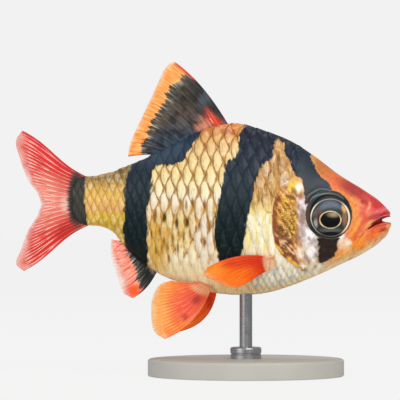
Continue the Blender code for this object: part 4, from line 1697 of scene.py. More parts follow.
@dataclass(frozen=True)
class BarbPattern:
    """The fish's colours and dark bars on its side view, as one group for every piece that wears them."""

    kit: MarkingKit
    colours: FlankColours = FlankColours()
    form: BodyForm = BodyForm()

    @staticmethod
    def edge(height: Flow, knots: Knots) -> Flow:
        """Adds an edge of a bar: its length from the snout at a height."""
        bench = height.bench
        return bench.curve(height, tuple((h, s) for s, h in side_knots(*knots)))

    def bar_mask(self, length: Flow, height: Flow, bar: Bar) -> Flow:
        """Adds the mask of one bar.

        Args:
            length: Length from the snout.
            height: Height over the axis.
            bar: The bar.

        Returns:
            The mask, from 0 to 1.
        """
        soft = bar.softness
        rear = (self.edge(height, bar.tailward) - length).ease(-soft, soft)
        fore = (length - self.edge(height, bar.headward)).ease(-soft, soft)
        foot, top = side_place(0, bar.foot)[1], side_place(0, bar.top)[1]
        mask = rear * fore * height.ease(foot - 0.8, foot + 0.8)
        return mask * height.ease(top + 0.6, top - 0.6)

    @staticmethod
    def run(height: Flow, stops: Run) -> Flow:
        """Adds a run of colours down the flank."""
        bench = height.bench
        places = tuple((side_place(0, row)[1], paint(*colour)) for row, colour in stops)
        return bench.ramp(height, places, -16, 17)

    def dark(self, length: Flow, height: Flow, fine: Flow) -> Flow:
        """Adds the mask of everything dark: the bars, the saddle under the dorsal fin and the eye's surround.

        Args:
            length: Length from the snout.
            height: Height over the axis.
            fine: The flat place, for the sharp-edged surround of the eye.

        Returns:
            The mask, from 0 to 1.
        """
        bench = height.bench
        dark = self.bar_mask(length, height, BARS[0])
        for bar in BARS[1:]:
            dark = bench.math("MAXIMUM", dark, self.bar_mask(length, height, bar))
        knots = side_knots(
            (205, 118), (203, 125), (199.5, 134), (192.6, 144), (186.5, 154), (182, 161.5),
            (170, 164.5), (157.5, 165.5), (140, 167),
        )
        over = (height - bench.curve(length, knots)).ease(-0.4, 0.4)
        over = over * length.ease(31.9, 32.9)
        over = over * length.ease(45.6, 44.6)
        dark = bench.math("MAXIMUM", dark, over)
        ring = Spot((0, 0, 0), 328, 214.6, 23.4, 24.4, 0, 0.045)
        return bench.math("MAXIMUM", dark, self.kit.spot(fine, ring))

    def make(self) -> bpy.types.NodeTree:
        """Makes the pattern's group.

        Returns:
            The group, with Place and Fine (length, height, out) in, and Colour, Bar, Dark and Head out.
        """
        tree = bpy.data.node_groups.new("barb_pattern", "ShaderNodeTree")
        for name in ("Place", "Fine"):
            tree.interface.new_socket(name, in_out="INPUT", socket_type="NodeSocketVector")
        for name in ("Colour", "Bar"):
            tree.interface.new_socket(name, in_out="OUTPUT", socket_type="NodeSocketColor")
        for name in ("Dark", "Head"):
            tree.interface.new_socket(name, in_out="OUTPUT", socket_type="NodeSocketFloat")
        bench = Bench(tree)
        given = bench.flows(bench.node("NodeGroupInput"))
        result = bench.node("NodeGroupOutput")
        length, height, _ = bench.split(given["Place"])
        fine_length, fine_height, _ = bench.split(given["Fine"])
        fine = bench.join(fine_length, fine_height, 0)
        shades = self.colours
        middle, rear = self.run(height, shades.middle), self.run(height, shades.rear)
        colour = bench.mix(length.ease(42, 47), middle, rear)
        colour = colour.mix(length.ease(27, 24), self.run(height, shades.front))
        gold = length.ease(36, 41) * height.ease(-1, -4)
        gold = gold * length.ease(46, 44)
        colour = colour.mix(gold * 0.7, (224, 184, 88))
        colour = self.kit.lay(colour, fine, FLANK_MARKS)
        rim = fine_height - bench.curve(fine_length, self.form.belly)
        tan = rim.ease(1.3, 0.3) * fine_length.ease(44, 36)
        head_line = bench.curve(fine_height, tuple((h, s) for s, h in HeadLines().head_edge()[::4]))
        head = (head_line - fine_length).ease(-0.1, 0.15)
        face = self.kit.lay((226, 160, 96), fine, HEAD_MARKS)
        face = self.kit.lay(face, fine, GILL_MARKS)
        nape = fine_height.ease(4.4, 6)
        face = face.mix(nape * fine_length.ease(12.6, 13.6), colour)
        colour = colour.mix(head, face)
        colour = self.kit.lay(colour, fine, CHEST_MARKS)
        # Painted light and shade along the belly's lower edge: a cream band lightened against the underside's
        # own shade, then a darker orange rim as painted shade where the belly curves under.
        colour = colour.mix(tan * fine_length.ease(1, 4, 0, 0.8), (250, 218, 166))
        colour = colour.mix(rim.ease(0.34, 0.1, 0, 0.7), (246, 190, 124))
        bench.feed(result.inputs["Colour"], colour)
        bar = self.kit.lay(self.run(height, shades.bar), fine, BAR_MARKS)
        bench.feed(result.inputs["Bar"], bar)
        bench.feed(result.inputs["Dark"], self.dark(length, height, fine))
        bench.feed(result.inputs["Head"], head)
        return tree


@dataclass(frozen=True)
class BodyPlace:
    """The side view's place of a point on the body, worked out from its place on the model."""

    bench: Bench

    def nodes(self) -> Flow:
        """Adds the nodes.

        Returns:
            A vector of length from the snout, height over the axis and distance out, in millimetres.
        """
        bench = self.bench
        place = bench.node("ShaderNodeTexCoord").outputs["Object"]
        x, y, z = bench.split(bench.vector("SCALE", place, 1 / MM))
        return bench.join(TOTAL_LENGTH / 2 - x, z - AXIS_HEIGHT, abs(y))


@dataclass(frozen=True)
class SkinFinish:
    """Wet fish skin: the pattern with streaked cheeks, metallic flecks on the gill cover and small pores."""

    pattern: bpy.types.NodeTree
    gloss: Gloss = Gloss(specular=0.22, coat=0.12, coat_roughness=0.2, subsurface=0.05)

    def cheek(self, place: Flow, colour: Flow, head: Flow) -> Flow:
        """Adds the streaks of the cheek and the chin.

        Args:
            place: Length, height and distance out.
            colour: The colour under the streaks.
            head: Where the head is.

        Returns:
            The streaked colour.
        """
        bench = place.bench
        length, height, _ = bench.split(place)
        cheek = head * length.ease(9.5, 7.5)
        pale = cheek * length.ease(2.6, 4.4) * height.ease(2, 0.6)
        steep = bench.streaks(place, -62, 2, 0.4)
        colour = colour.mix(steep.ease(0.5, 0.72) * (cheek * 0.5), (214, 60, 52))
        colour = colour.mix(steep.ease(0.47, 0.3) * (pale * 0.5), (255, 196, 128))
        grain = bench.streaks(place, 34, 2, 0.5)
        colour = colour.mix(grain.ease(0.46, 0.74) * (cheek * 0.16), (132, 44, 40), "MULTIPLY")
        pearl = head * abs(length - 14.4).ease(2.8, 1.6)
        pearl = pearl * height.ease(4.2, 2)
        sheen = bench.streaks(place, 66, 1.05, 0.6, 2)
        colour = colour.mix(sheen.ease(0.5, 0.68) * (pearl * 0.7), (252, 248, 248))
        return colour.mix(sheen.ease(0.47, 0.32) * (pearl * 0.7), (138, 112, 110))

    def gill(self, place: Flow, colour: Flow) -> Flow:
        """Adds the gold flecks and brown streaks of the gill cover.

        Args:
            place: Length, height and distance out.
            colour: The colour under them.

        Returns:
            The flecked colour.
        """
        bench = place.bench
        length, height, _ = bench.split(place)
        cover = length.ease(16, 17) * length.ease(20.7, 19.6)
        cover = cover * height.ease(-10, -7)
        cover = cover * height.ease(5.2, 3.5)
        offset = bench.vector("SUBTRACT", bench.join(length, height, 0), (18, -0.6, 0))
        away = bench.vector("LENGTH", bench.vector("DIVIDE", offset, (1.75, 3, 1)))
        golden = cover * away.ease(1.5, 0.5)
        golden = golden * bench.noise(place, 1.5, 2).ease(0.36, 0.6, 0.15, 1)
        flecks = bench.noise(place, 3.4, 2.5)
        spots = bench.noise(place, 4.4, 2)
        umber = bench.streaks(place, 52, 1.5, 0.75)
        colour = colour.mix(umber.ease(0.46, 0.6) * (cover * 0.85), (104, 54, 28))
        colour = colour.mix(umber.ease(0.46, 0.34) * (cover * 0.8), (246, 200, 128))
        colour = colour.mix(flecks.ease(0.5, 0.62) * (golden * 0.85), (252, 216, 74))
        return colour.mix(spots.ease(0.54, 0.66) * (golden * 0.8), (70, 46, 26))

    def build(self) -> bpy.types.Material:
        """Makes the material.

        Returns:
            The finish.
        """
        material, bench, shader = new_finish("fish_skin", self.gloss)
        place = BodyPlace(bench).nodes()
        drift = bench.vector("SUBTRACT", bench.noise(place, 1.3, 4, colour=True), (0.5, 0.5, 0.5))
        loose = bench.vector("ADD", place, bench.vector("MULTIPLY", drift, (1.2, 1.6, 0)))
        tight = bench.vector("ADD", place, bench.vector("MULTIPLY", drift, (0.3, 0.3, 0)))
        marked = bench.group(self.pattern, Place=loose, Fine=tight)
        mottle = bench.noise(place, 1.8, 5).ease(0.4, 0.75, 0, 0.3)
        colour = marked["Colour"].mix(mottle, (150, 84, 56), "MULTIPLY")
        colour = self.gill(place, self.cheek(place, colour, marked["Head"]))
        cloud = bench.noise(place, 1.2, 4).ease(0.45, 0.75, 0, 0.2)
        dark = marked["Bar"].mix(cloud, (54, 68, 82))
        ragged = (bench.streaks(place, 80, 2, 0.6) - 0.5) * 0.3
        edge = (marked["Dark"] + ragged).ease(0.2, 0.8)
        colour = colour.mix(edge, dark)
        mouth = bench.split(bench.note("mouth"))[0]
        lining = bench.mix(bench.noise(place, 2.2, 2).ease(0.35, 0.65), (132, 14, 18), (226, 40, 52))
        colour = colour.mix(mouth.ease(0.1, 0.6), lining)
        bench.feed(shader.inputs["Base Color"], colour)
        bench.feed(shader.inputs["Roughness"], bench.noise(place, 1.2, 3).ease(0.3, 0.7, 0.34, 0.48))
        pores = bench.noise(place, 6, 3) * 0.6
        folds = bench.noise(place, 1.6, 4, stretch=(1, 1.6, 1))
        bench.feed(shader.inputs["Normal"], bench.bump(pores + folds, 0.00006, 0.6))
        return material


@dataclass(frozen=True)
class ScaleFinish:
    """Scales: each a pale lens in a golden-brown net, dark where the bars cross them."""

    pattern: bpy.types.NodeTree
    kit: MarkingKit
    gloss: Gloss = Gloss(specular=0.16, coat=0.06, coat_roughness=0.25)

    def net(self, place: Flow, colour: Flow, shape: tuple, lens: Flow) -> Flow:
        """Adds the net between the lenses: a dark edge line, gold beside it and a brown root, part pigment
        and part painted shade.

        Args:
            place: Length, height and distance out.
            colour: The scales' own colour.
            shape: Pitches from the free edge, rows across and the scale's tone.
            lens: Where the pale lens is.

        Returns:
            The colour with the net.
        """
        bench = place.bench
        u, v, _ = shape
        length, height, _ = bench.split(place)
        rim = u - v * v * 0.5
        line = rim.ease(0.15, 0.05)
        # The brown root is partly the scales' own pigment and partly painted shade where the scale ahead
        # overlaps.
        root = u.ease(0.66, 0.9) * abs(v).ease(0.75, 0.3)
        gold = bench.mix(height.ease(8, 14), (204, 158, 82), (210, 134, 66))
        brown = bench.mix(height.ease(1, 3), (172, 112, 36), (150, 104, 50))
        between = gold.mix(root * 0.75, brown)
        brink = bench.mix(height.ease(1, 3), (196, 142, 60), (150, 106, 54))
        between = between.mix(line, brink)
        flank = height.ease(-3.4, -0.8) * length.ease(25, 26.5)
        strength = flank * length.ease(46, 43.5, 0, 0.86)
        low = height.ease(-11, -6.5, 0, 0.3) * length.ease(25.5, 27)
        rear_top = length.ease(44.5, 47) * height.ease(1.4, 5, 0.06, 0.5)
        front = length.ease(26.5, 24.5) * height.ease(0, 4, 0.05, 0.3)
        for other in (low, rear_top, front):
            strength = bench.math("MAXIMUM", strength, other)
        gap = (1 - lens) * strength
        colour = colour.mix(gap, between)
        zone = height.ease(1.8, -0.2) * height.ease(-10.5, -6)
        zone = zone * length.ease(26, 28.5)
        zone = zone * length.ease(46, 44)
        ragged = bench.streaks(place, 90, 1.9, 0.5)
        band = abs(u - 0.84).ease(0.34, 0.08)
        flake = (band * 0.36 + ragged * 0.95).ease(0.52, 0.74)
        dash = bench.mix(ragged.ease(0.4, 0.66), (206, 148, 44), (140, 92, 26))
        return colour.mix(flake * (zone * 0.9), dash)

    def strands(self, place: Flow, colour: Flow) -> Flow:
        """Adds the upright gold and brown strands of the front flank, and fine ones everywhere.

        Args:
            place: Length, height and distance out.
            colour: The colour under them.

        Returns:
            The stranded colour.
        """
        bench = place.bench
        length, height, _ = bench.split(place)
        front = length.ease(26.5, 24.5) * height.ease(0.2, 3, 0.12, 1)
        colour = colour.mix(front * 0.75, (186, 134, 68))
        wide = bench.streaks(place, 86, 1.7, 0.34, 4)
        colour = colour.mix(wide.ease(0.5, 0.66) * (front * 0.85), (122, 78, 36))
        colour = colour.mix(wide.ease(0.44, 0.32) * (front * 0.65), (240, 208, 150))
        cream = length.ease(26.5, 24.5) * height.ease(1.5, -1)
        cream = cream * height.ease(-9.5, -7.5)
        colour = colour.mix(wide.ease(0.5, 0.62) * (cream * 0.6), (246, 226, 120))
        colour = colour.mix(wide.ease(0.48, 0.38) * (cream * 0.7), (255, 252, 240))
        fine = bench.streaks(place, 88, 4.2, 0.7, 3)
        colour = colour.mix(fine.ease(0.5, 0.75, 0, 0.4), (176, 126, 62), "MULTIPLY")
        pale = fine.ease(0.45, 0.25, 0, 0.45) * length.ease(47, 40, 0.35, 1)
        return colour.mix(pale, (255, 246, 216))

    def build(self) -> bpy.types.Material:
        """Makes the material.

        Returns:
            The finish.
        """
        material, bench, shader = new_finish("fish_scales", self.gloss)
        place = BodyPlace(bench).nodes()
        u, v, tone = bench.split(bench.note("scale_shape"))
        seat_length, seat_height, fine = bench.split(bench.note("scale_seat"))
        uneven = bench.noise(place, 1.4, 4, stretch=(1.8, 0.5, 1), colour=True)
        drift = bench.vector("SUBTRACT", uneven, (0.5, 0.5, 0.5))
        stepped = place.mix(0.14, bench.join(seat_length, seat_height, 0))
        loose = bench.vector("ADD", stepped, bench.vector("MULTIPLY", drift, (1.1, 1.2, 0)))
        soft = bench.vector("ADD", place, bench.vector("MULTIPLY", drift, (0.4, 0.4, 0)))
        marked = bench.group(self.pattern, Place=loose, Fine=soft)
        side = abs(v)
        bent = side * (1 - side) * 0.34
        along = abs(u - 0.49 + bent)
        rough = (bench.noise(place, 2.6, 2) - 0.5) * 0.5
        inside = 1 - v * v * 1.85 - (along / 0.355) ** 1.8
        lens = (inside + rough).ease(0.04, 0.42)
        colour = self.net(place, marked["Colour"], (u, v, tone), lens)
        colour = self.strands(place, colour)
        _, height, _ = bench.split(place)
        glint = bench.noise(place, 1.1, 2) + tone * 0.12
        glint = lens * glint.ease(0.42, 0.7) * 0.3
        colour = colour.mix(glint, (254, 244, 208))
        colour = self.kit.lay(colour, bench.vector("MULTIPLY", soft, (1, 1, 0)), LATERAL_MARKS)
        # Painted highlights: the small chest scales' lenses carry bluish, cream and white glints, fading out
        # near the belly's edge.
        pearl = fine.ease(0.75, 0.6) * lens
        bead_highlight = bench.mix(tone.ease(-0.62, -0.4), (168, 190, 208), (240, 232, 204))
        bead_highlight = bead_highlight.mix(tone.ease(0.35, 0.6), (255, 252, 240))
        over = height - bench.curve(bench.split(place)[0], BodyForm.belly)
        pearl = pearl * over.ease(0.8, 1.6, 0, 0.7)
        colour = colour.mix(pearl, bead_highlight)
        shine = lens * bench.noise(place, 1.5, 3).ease(0.45, 0.8, 0, 0.22)
        bar = marked["Bar"].mix(shine, (76, 96, 108))
        ragged = bench.streaks(place, 84, 3, 0.6) - 0.5
        ragged = ragged * 0.7 + (0.5 - lens) * 0.1
        dark = (marked["Dark"] + ragged).ease(0.2, 0.78)
        bench.feed(shader.inputs["Base Color"], colour.mix(dark, bar))
        bench.feed(shader.inputs["Roughness"], bench.noise(place, 2, 2).ease(0.3, 0.7, 0.32, 0.46))
        rings = bench.math("SINE", u * 46)
        spokes = bench.noise(bench.join(v * 9, u * 0.8, tone), 1, 1)
        texture = rings * 0.08 + spokes * 0.7
        bench.feed(shader.inputs["Normal"], bench.bump(texture, 0.00003, 0.5))
        return material


@dataclass(frozen=True)
class FinShades:
    """Display colours of one fin, its marks on the side view, and how it fades at its margin."""

    web: Triple
    web_out: Triple
    dusk: Triple
    ray: Triple
    ray_out: Triple
    lead: Triple
    rim: Triple
    root: Triple
    root_reach: float = 0.12
    rim_start: float = 0.88
    fade_start: float = 0.9
    fade: float = 0.35
    ray_strength: float = 0.6
    dusk_strength: float = 0.5
    jagged: float = 0.8
    blotch: float = 0.0
    marks: tuple[Mark, ...] = ()
    border: Knots = ()
    border_colour: Triple = (240, 150, 70)
    border_light: Triple = (250, 186, 118)
    border_rays: float = 0.0
    late_marks: tuple[Mark, ...] = ()


@dataclass(frozen=True)
class FinFinish:
    """A fin: a thin tinted web with paler or darker rays, paling to a see-through margin."""

    name: str
    kit: MarkingKit
    shades: FinShades
    gloss: Gloss = Gloss(specular=0.16, coat=0.04, coat_roughness=0.25, subsurface=0.08)

    def build(self) -> bpy.types.Material:
        """Makes the material.

        Returns:
            The finish.
        """
        material, bench, shader = new_finish(self.name, self.gloss)
        u, v, ray = bench.split(bench.note("fin_place"))
        place = BodyPlace(bench).nodes()
        shades = self.shades
        grain = bench.noise(bench.join(u * 70, v * 2.4, 0), 1, 3)
        coarse = bench.noise(bench.join(u * 24, v * 1.2, 3), 1, 2)
        wave = (bench.noise(place, 0.9, 3) - 0.5) * 0.25
        out = v + wave
        jag = bench.math("MULTIPLY_ADD", coarse - 0.5, 1.6, grain - 0.5)
        length, height, _ = bench.split(place)
        length = bench.math("MULTIPLY_ADD", jag, shades.jagged, length)
        flat = bench.join(length, height, 0)
        colour = bench.mix(out.ease(0.1, 0.9), shades.web, shades.web_out)
        colour = self.kit.lay(colour, flat, shades.marks)
        colour = colour.mix(grain.ease(0.48, 0.7, 0, shades.dusk_strength), shades.dusk)
        cloud = bench.noise(place, 0.62, 4).ease(0.44, 0.6, 0, shades.blotch)
        colour = colour.mix(cloud, shades.dusk)
        rays = bench.mix(out.ease(0.2, 0.9), shades.ray, shades.ray_out)
        strength = ray.ease(0.3, 0.9) * shades.ray_strength
        strength = strength * bench.noise(place, 0.6, 3).ease(0.3, 0.65, 0.3, 1)
        colour = colour.mix(strength, rays)
        if shades.border:
            line = bench.curve(height, tuple((h, s) for s, h in side_knots(*shades.border)))
            past = (length - line).ease(-0.12, 0.12)
            near = (length - line).ease(-1.7, -0.2)
            flecks = near * grain.ease(0.5, 0.62, 0, 0.65)
            colour = colour.mix(flecks, (190, 184, 168))
            edge = bench.mix(grain.ease(0.42, 0.62), shades.border_colour, shades.border_light)
            edge = edge.mix(ray * shades.border_rays, shades.ray_out)
            colour = colour.mix(past, edge)
        colour = colour.mix(u.ease(0.05, 0, 0, 0.8), shades.lead)
        colour = colour.mix(v.ease(shades.root_reach, shades.root_reach * 0.2), shades.root)
        colour = colour.mix(out.ease(shades.rim_start, 1.05), shades.rim)
        colour = self.kit.lay(colour, flat, shades.late_marks)
        bench.feed(shader.inputs["Base Color"], colour)
        thin = 1 - ray * 0.5
        middle = u.ease(0.04, 0.3) * u.ease(0.96, 0.7)
        clear = out.ease(shades.fade_start, 1.04) * thin
        clear = clear * bench.math("MULTIPLY_ADD", middle, 0.75, 0.25)
        bench.feed(shader.inputs["Alpha"], 1 - clear * shades.fade)
        bench.feed(shader.inputs["Roughness"], grain.ease(0.3, 0.7, 0.38, 0.55))
        bench.feed(shader.inputs["Normal"], bench.bump(grain, 0.00003, 0.5))
        return material


FIN_SHADES: dict[str, FinShades] = {
    "dorsal": FinShades(
        web=(62, 62, 60), web_out=(96, 88, 76), dusk=(34, 34, 32), ray=(44, 44, 44), ray_out=(104, 98, 88),
        lead=(40, 44, 50), rim=(252, 214, 170), root=(58, 72, 90), root_reach=0.06, rim_start=0.9,
        fade_start=0.92, fade=0.7, ray_strength=0.25, dusk_strength=0.6, jagged=2.1, blotch=0.75,
        border_colour=(244, 146, 58),
        marks=(
            Spot((60, 78, 98), 174, 139, 27, 13, -34, 0.6, 0.9),
            Spot((50, 52, 50), 196, 92, 10, 26, 32, 0.5, 0.9),
            Spot((110, 96, 84), 186, 118, 12, 12, 0, 0.8, 0.5),
            Spot((196, 132, 116), 203, 122, 6, 9, 20, 0.7, 0.8),
        ),
        border=(
            (187, 68), (184, 75), (174.5, 83), (168, 90), (165, 99), (159.5, 109),
            (153, 119.5), (148.5, 130), (143.5, 142), (139.5, 155),
        ),
        late_marks=(
            Stroke((232, 70, 62), ((176, 63), (184, 68.4), (190, 73.4), (195.6, 79.6)), 2.6, 0.95),
            Spot((216, 146, 116), 205, 126.5, 8, 4.6, -18, 0.7, 0.85),
            Stroke((238, 78, 52), ((207, 114), (212, 119), (218, 124), (224, 128)), 6, 0.95, False, 0.7),
            Spot((78, 86, 98), 205, 98, 5, 12, 34, 0.7, 0.8),
            Stroke((250, 196, 164), ((206, 112.5), (209, 118), (213, 123)), 0.9, 0.8),
            Stroke((252, 160, 128), ((211, 111.5), (216, 118), (221, 123.4)), 0.7, 0.75),
            Stroke((40, 38, 40), ((208, 107), (214, 116), (221, 124.6)), 0.9, 0.85),
            Stroke((60, 40, 40), ((204.6, 112), (209, 119), (214, 127.4)), 0.8, 0.8),
            Stroke((70, 40, 40), ((212, 111), (218, 118.6), (224, 125)), 0.6, 0.7),
            Spot((236, 96, 52), 134, 155.6, 7, 1.2, 0, 0.6, 0.9),
        ),
    ),
    "anal": FinShades(
        web=(34, 42, 42), web_out=(38, 42, 42), dusk=(20, 26, 26), ray=(52, 54, 52), ray_out=(252, 214, 200),
        lead=(40, 44, 44), rim=(252, 220, 206), root=(30, 40, 40), root_reach=0.1, rim_start=0.7,
        fade_start=0.6, fade=0.85, jagged=1.6, ray_strength=0.3, dusk_strength=0.4,
        border_colour=(238, 84, 56), border_light=(250, 190, 170), border_rays=0.5,
        border=(
            (125.3, 235), (126.7, 245.8), (128.2, 253.8), (131.8, 260.3), (134.7, 266), (136.1, 274),
            (136.5, 281.2), (139.4, 288), (146, 292),
        ),
        late_marks=(
            Spot((250, 96, 34), 133, 291, 7, 7, 0, 0.6),
            Spot((198, 176, 166), 151, 268, 2, 5.5, -26, 0.8, 0.55),
        ),
    ),
    "tail": FinShades(
        web=(206, 48, 48), web_out=(222, 70, 64), dusk=(164, 22, 34), ray=(250, 210, 188),
        ray_out=(253, 214, 200), lead=(206, 40, 52), rim=(246, 176, 162), root=(48, 54, 58), root_reach=0.02,
        rim_start=0.84, fade_start=0.76, fade=0.85, ray_strength=0.74, dusk_strength=0.5, jagged=1,
        marks=(
            Spot((240, 156, 138), 44, 200, 26, 22, 0, 0.7, 0.75),
            Spot((224, 46, 50), 40, 152, 30, 10, 38, 0.6, 0.9),
            Spot((216, 40, 38), 46, 248, 30, 10, -42, 0.6, 0.9),
            Spot((196, 40, 36), 66, 229, 12, 6, -40, 0.6, 0.85),
        ),
        late_marks=(
            Spot((244, 230, 214), 66, 204, 4.6, 8, 0, 0.8, 0.5),
            Spot((62, 64, 60), 76.5, 200, 8.6, 29, 0, 0.26),
            Spot((112, 82, 56), 80, 214, 3, 8, 0, 0.8, 0.5),
            Spot((190, 40, 32), 66, 232, 12, 6, -35, 0.6, 0.75),
            Spot((250, 212, 198), 20, 240, 7, 20, 8, 0.8, 0.6),
            Stroke((200, 30, 46), ((17, 131), (30, 135), (45, 146), (60, 160), (72, 170)), 1.2, 0.8),
        ),
    ),
    "pectoral": FinShades(
        web=(226, 66, 22), web_out=(250, 116, 14), dusk=(168, 26, 14), ray=(238, 84, 30),
        ray_out=(252, 142, 40), lead=(226, 60, 44), rim=(246, 182, 130), root=(238, 190, 150), root_reach=0.1,
        rim_start=0.93, fade_start=0.93, fade=0.2, ray_strength=0.4, dusk_strength=0.55, jagged=0.6,
        marks=(
            Spot((218, 58, 26), 246, 261.5, 24, 5.5, -4, 0.6, 0.85),
            Spot((252, 122, 10), 234, 278, 16, 6, -30, 0.7, 0.8),
            Spot((246, 150, 48), 214, 269, 9, 9, 0, 0.7, 0.8),
        ),
    ),
    "pelvic": FinShades(
        web=(238, 92, 66), web_out=(242, 146, 62), dusk=(206, 62, 40), ray=(248, 134, 92),
        ray_out=(250, 194, 128), lead=(240, 132, 84), rim=(248, 212, 164), root=(240, 186, 140),
        root_reach=0.16, rim_start=0.88, fade_start=0.9, fade=0.25, ray_strength=0.6, dusk_strength=0.4,
        jagged=0.6,
        marks=(
            Spot((236, 84, 66), 186, 308, 15, 15, 0, 0.7, 0.9),
            Spot((244, 164, 78), 160, 316, 8, 22, 0, 0.7, 0.8),
            Spot((244, 118, 34), 180, 328, 18, 8, -14, 0.7, 0.8),
        ),
        late_marks=(
            Spot((246, 112, 26), 186, 331, 15, 5, -16, 0.7, 0.85),
            Spot((170, 56, 60), 196.3, 299.4, 4.6, 3.4, -40, 0.7, 0.8),
            Spot((186, 58, 60), 185, 316.4, 3.6, 3, -40, 0.7, 0.75),
            Spot((242, 186, 140), 199, 288.6, 9, 4, 26, 0.6, 0.9),
        ),
    ),
    "far": FinShades(
        web=(255, 84, 24), web_out=(255, 128, 30), dusk=(226, 52, 20), ray=(255, 120, 52),
        ray_out=(255, 166, 76), lead=(240, 64, 24), rim=(252, 204, 150), root=(240, 140, 84), root_reach=0.08,
        rim_start=0.92, fade_start=0.92, fade=0.25, ray_strength=0.45, dusk_strength=0.5, jagged=0.6,
        marks=(
            Spot((252, 134, 24), 186, 328, 10, 5, -30, 0.7, 0.9),
            Spot((170, 34, 20), 209, 301, 3.4, 10, -18, 0.7, 0.6),
        ),
    ),
}


@dataclass(frozen=True)
class EyeFinish:
    """A clear-coated eye: a pale iris ring, a slate iris with a blue top, a painted crescent highlight and a
    dark foot, and a black pupil with a painted gleam.
    """

    gloss: Gloss = Gloss(specular=0.16, coat=0.22, coat_roughness=0.14)
    ring_centre: Pair = (-0.13, -0.28)
    ring_size: Pair = (3.44, 3.28)
    pupil: Pair = (-0.24, -0.66)
    pupil_size: Pair = (1.74, 1.36)
    gleam: Pair = (0.3, 0.25)
    gleam_size: Pair = (1.5, 0.7)

    @staticmethod
    def oval(x: Flow, y: Flow, centre: Pair, size: Pair) -> Flow:
        """Measures how far a place is from an oval's centre, 1 on the oval itself."""
        bench = x.bench
        offset = bench.join(x - centre[0], y - centre[1], 0)
        return bench.vector("LENGTH", bench.vector("DIVIDE", offset, (*size, 1)))

    def iris(self, x: Flow, y: Flow, reach: Flow) -> Flow:
        """Adds the iris inside its pale ring.

        Args:
            x: Place forward in the eye.
            y: Place up in the eye.
            reach: Distance from the ring's centre, 1 on the ring.

        Returns:
            The iris's colour.
        """
        bench = x.bench
        iris = bench.mix(y.ease(0, 2), (54, 51, 49), (52, 64, 78))
        rise = y - x * x * -0.16
        # Painted highlight: a pale blue crescent across the iris's upper half.
        painted_crescent_highlight = abs(rise - 1.95).ease(0.75, 0.1)
        iris = iris.mix(painted_crescent_highlight * 0.7, (88, 106, 124))
        for centre, size, colour, share in (
            ((-2.3, 0.1), (0.62, 1.5), (104, 78, 78), 0.85), ((-2.15, -0.5), (0.42, 1), (74, 30, 24), 0.85),
            ((-2.8, -1.45), (0.34, 0.95), (166, 172, 176), 0.8),
            ((2.35, -0.3), (0.5, 1.6), (150, 112, 84), 0.85), ((2.3, 1.5), (0.5, 0.85), (244, 182, 96), 0.9),
            ((-0.1, -2.45), (2.1, 0.36), (96, 100, 100), 0.75), ((-0.1, -3), (1.9, 0.3), (4, 4, 6), 0.95),
        ):
            away = self.oval(x, y, centre, size)
            iris = iris.mix(away.ease(1.4, 0.5, 0, share), colour)
        return iris.mix(reach.ease(0.86, 0.93, 0, 0.8), (30, 32, 36))

    def build(self) -> bpy.types.Material:
        """Makes the material.

        Returns:
            The finish.
        """
        material, bench, shader = new_finish("fish_eye", self.gloss)
        x, y, _ = bench.split(bench.note("eye_place"))
        reach = self.oval(x, y, self.ring_centre, self.ring_size)
        around = bench.math("ARCTAN2", y, x)
        fibres = bench.noise(bench.join(around, reach * 1.4, 0), 7, 3)
        colour = self.iris(x, y, reach)
        colour = colour.mix(fibres.ease(0.45, 0.75, 0, 0.35), (24, 22, 24))
        width = bench.math("MULTIPLY_ADD", x.ease(1.2, 3), 0.03, 0.026)
        width = bench.math("MULTIPLY_ADD", fibres - 0.5, 0.02, width)
        away = abs(reach - (1 - width * 0.5))
        ring = (away - width).ease(0.018, -0.018)
        cream = bench.mix(abs(x).ease(1.2, 2.8), (176, 166, 152), (240, 228, 200))
        cream = cream.mix(y.ease(1.4, 2.8, 0, 0.75), (112, 124, 132))
        cream = cream.mix(y.ease(-2.6, -3.3, 0, 0.8), (96, 92, 86))
        colour = colour.mix(ring, cream)
        colour = colour.mix(reach.ease(1.02, 1.045), (48, 46, 48))
        to_pupil = self.oval(x, y, self.pupil, self.pupil_size)
        bright = abs(to_pupil - 1.07).ease(0.1, 0.02)
        lit = bench.noise(bench.join(around, 0, 4), 1.3, 1).ease(0.35, 0.6, 0.45, 1)
        colour = colour.mix(bright * lit, (230, 210, 162))
        gleam = self.oval(x, y, self.gleam, self.gleam_size).ease(1.1, 0)
        black = bench.mix(gleam * 0.85, (5, 6, 9), (180, 160, 126))
        colour = colour.mix(to_pupil.ease(1.01, 0.97), black)
        bench.feed(shader.inputs["Base Color"], colour)
        bench.feed(shader.inputs["Roughness"], to_pupil.ease(0.9, 1.2, 0.15, 0.35))
        bench.feed(shader.inputs["Normal"], bench.bump(fibres, 0.00002, 0.4))
        return material


# Stand


@dataclass(frozen=True)
class BaseFinish:
    """Satin lacquer with a very fine grain, for the stand's base."""

    colour: Triple = (186, 184, 178)
    gloss: Gloss = Gloss(specular=0.35, coat=0.1, coat_roughness=0.35)

    def build(self) -> bpy.types.Material:
        """Makes the material.

        Returns:
            The finish.
        """
        material, bench, shader = new_finish("stand_lacquer", self.gloss)
        place = bench.vector("SCALE", bench.node("ShaderNodeTexCoord").outputs["Object"], 1 / MM)
        grain = bench.noise(place, 5, 4)
        cloud = bench.noise(place, 0.12, 3)
        colour = bench.mix(cloud.ease(0.3, 0.7, 0, 0.35), self.colour, (172, 170, 164))
        colour = colour.mix(grain.ease(0.5, 0.8, 0, 0.2), (140, 138, 132))
        bench.feed(shader.inputs["Base Color"], colour)
        bench.feed(shader.inputs["Roughness"], grain.ease(0.3, 0.7, 0.5, 0.62))
        bench.feed(shader.inputs["Normal"], bench.bump(grain, 0.00004, 0.35))
        return material


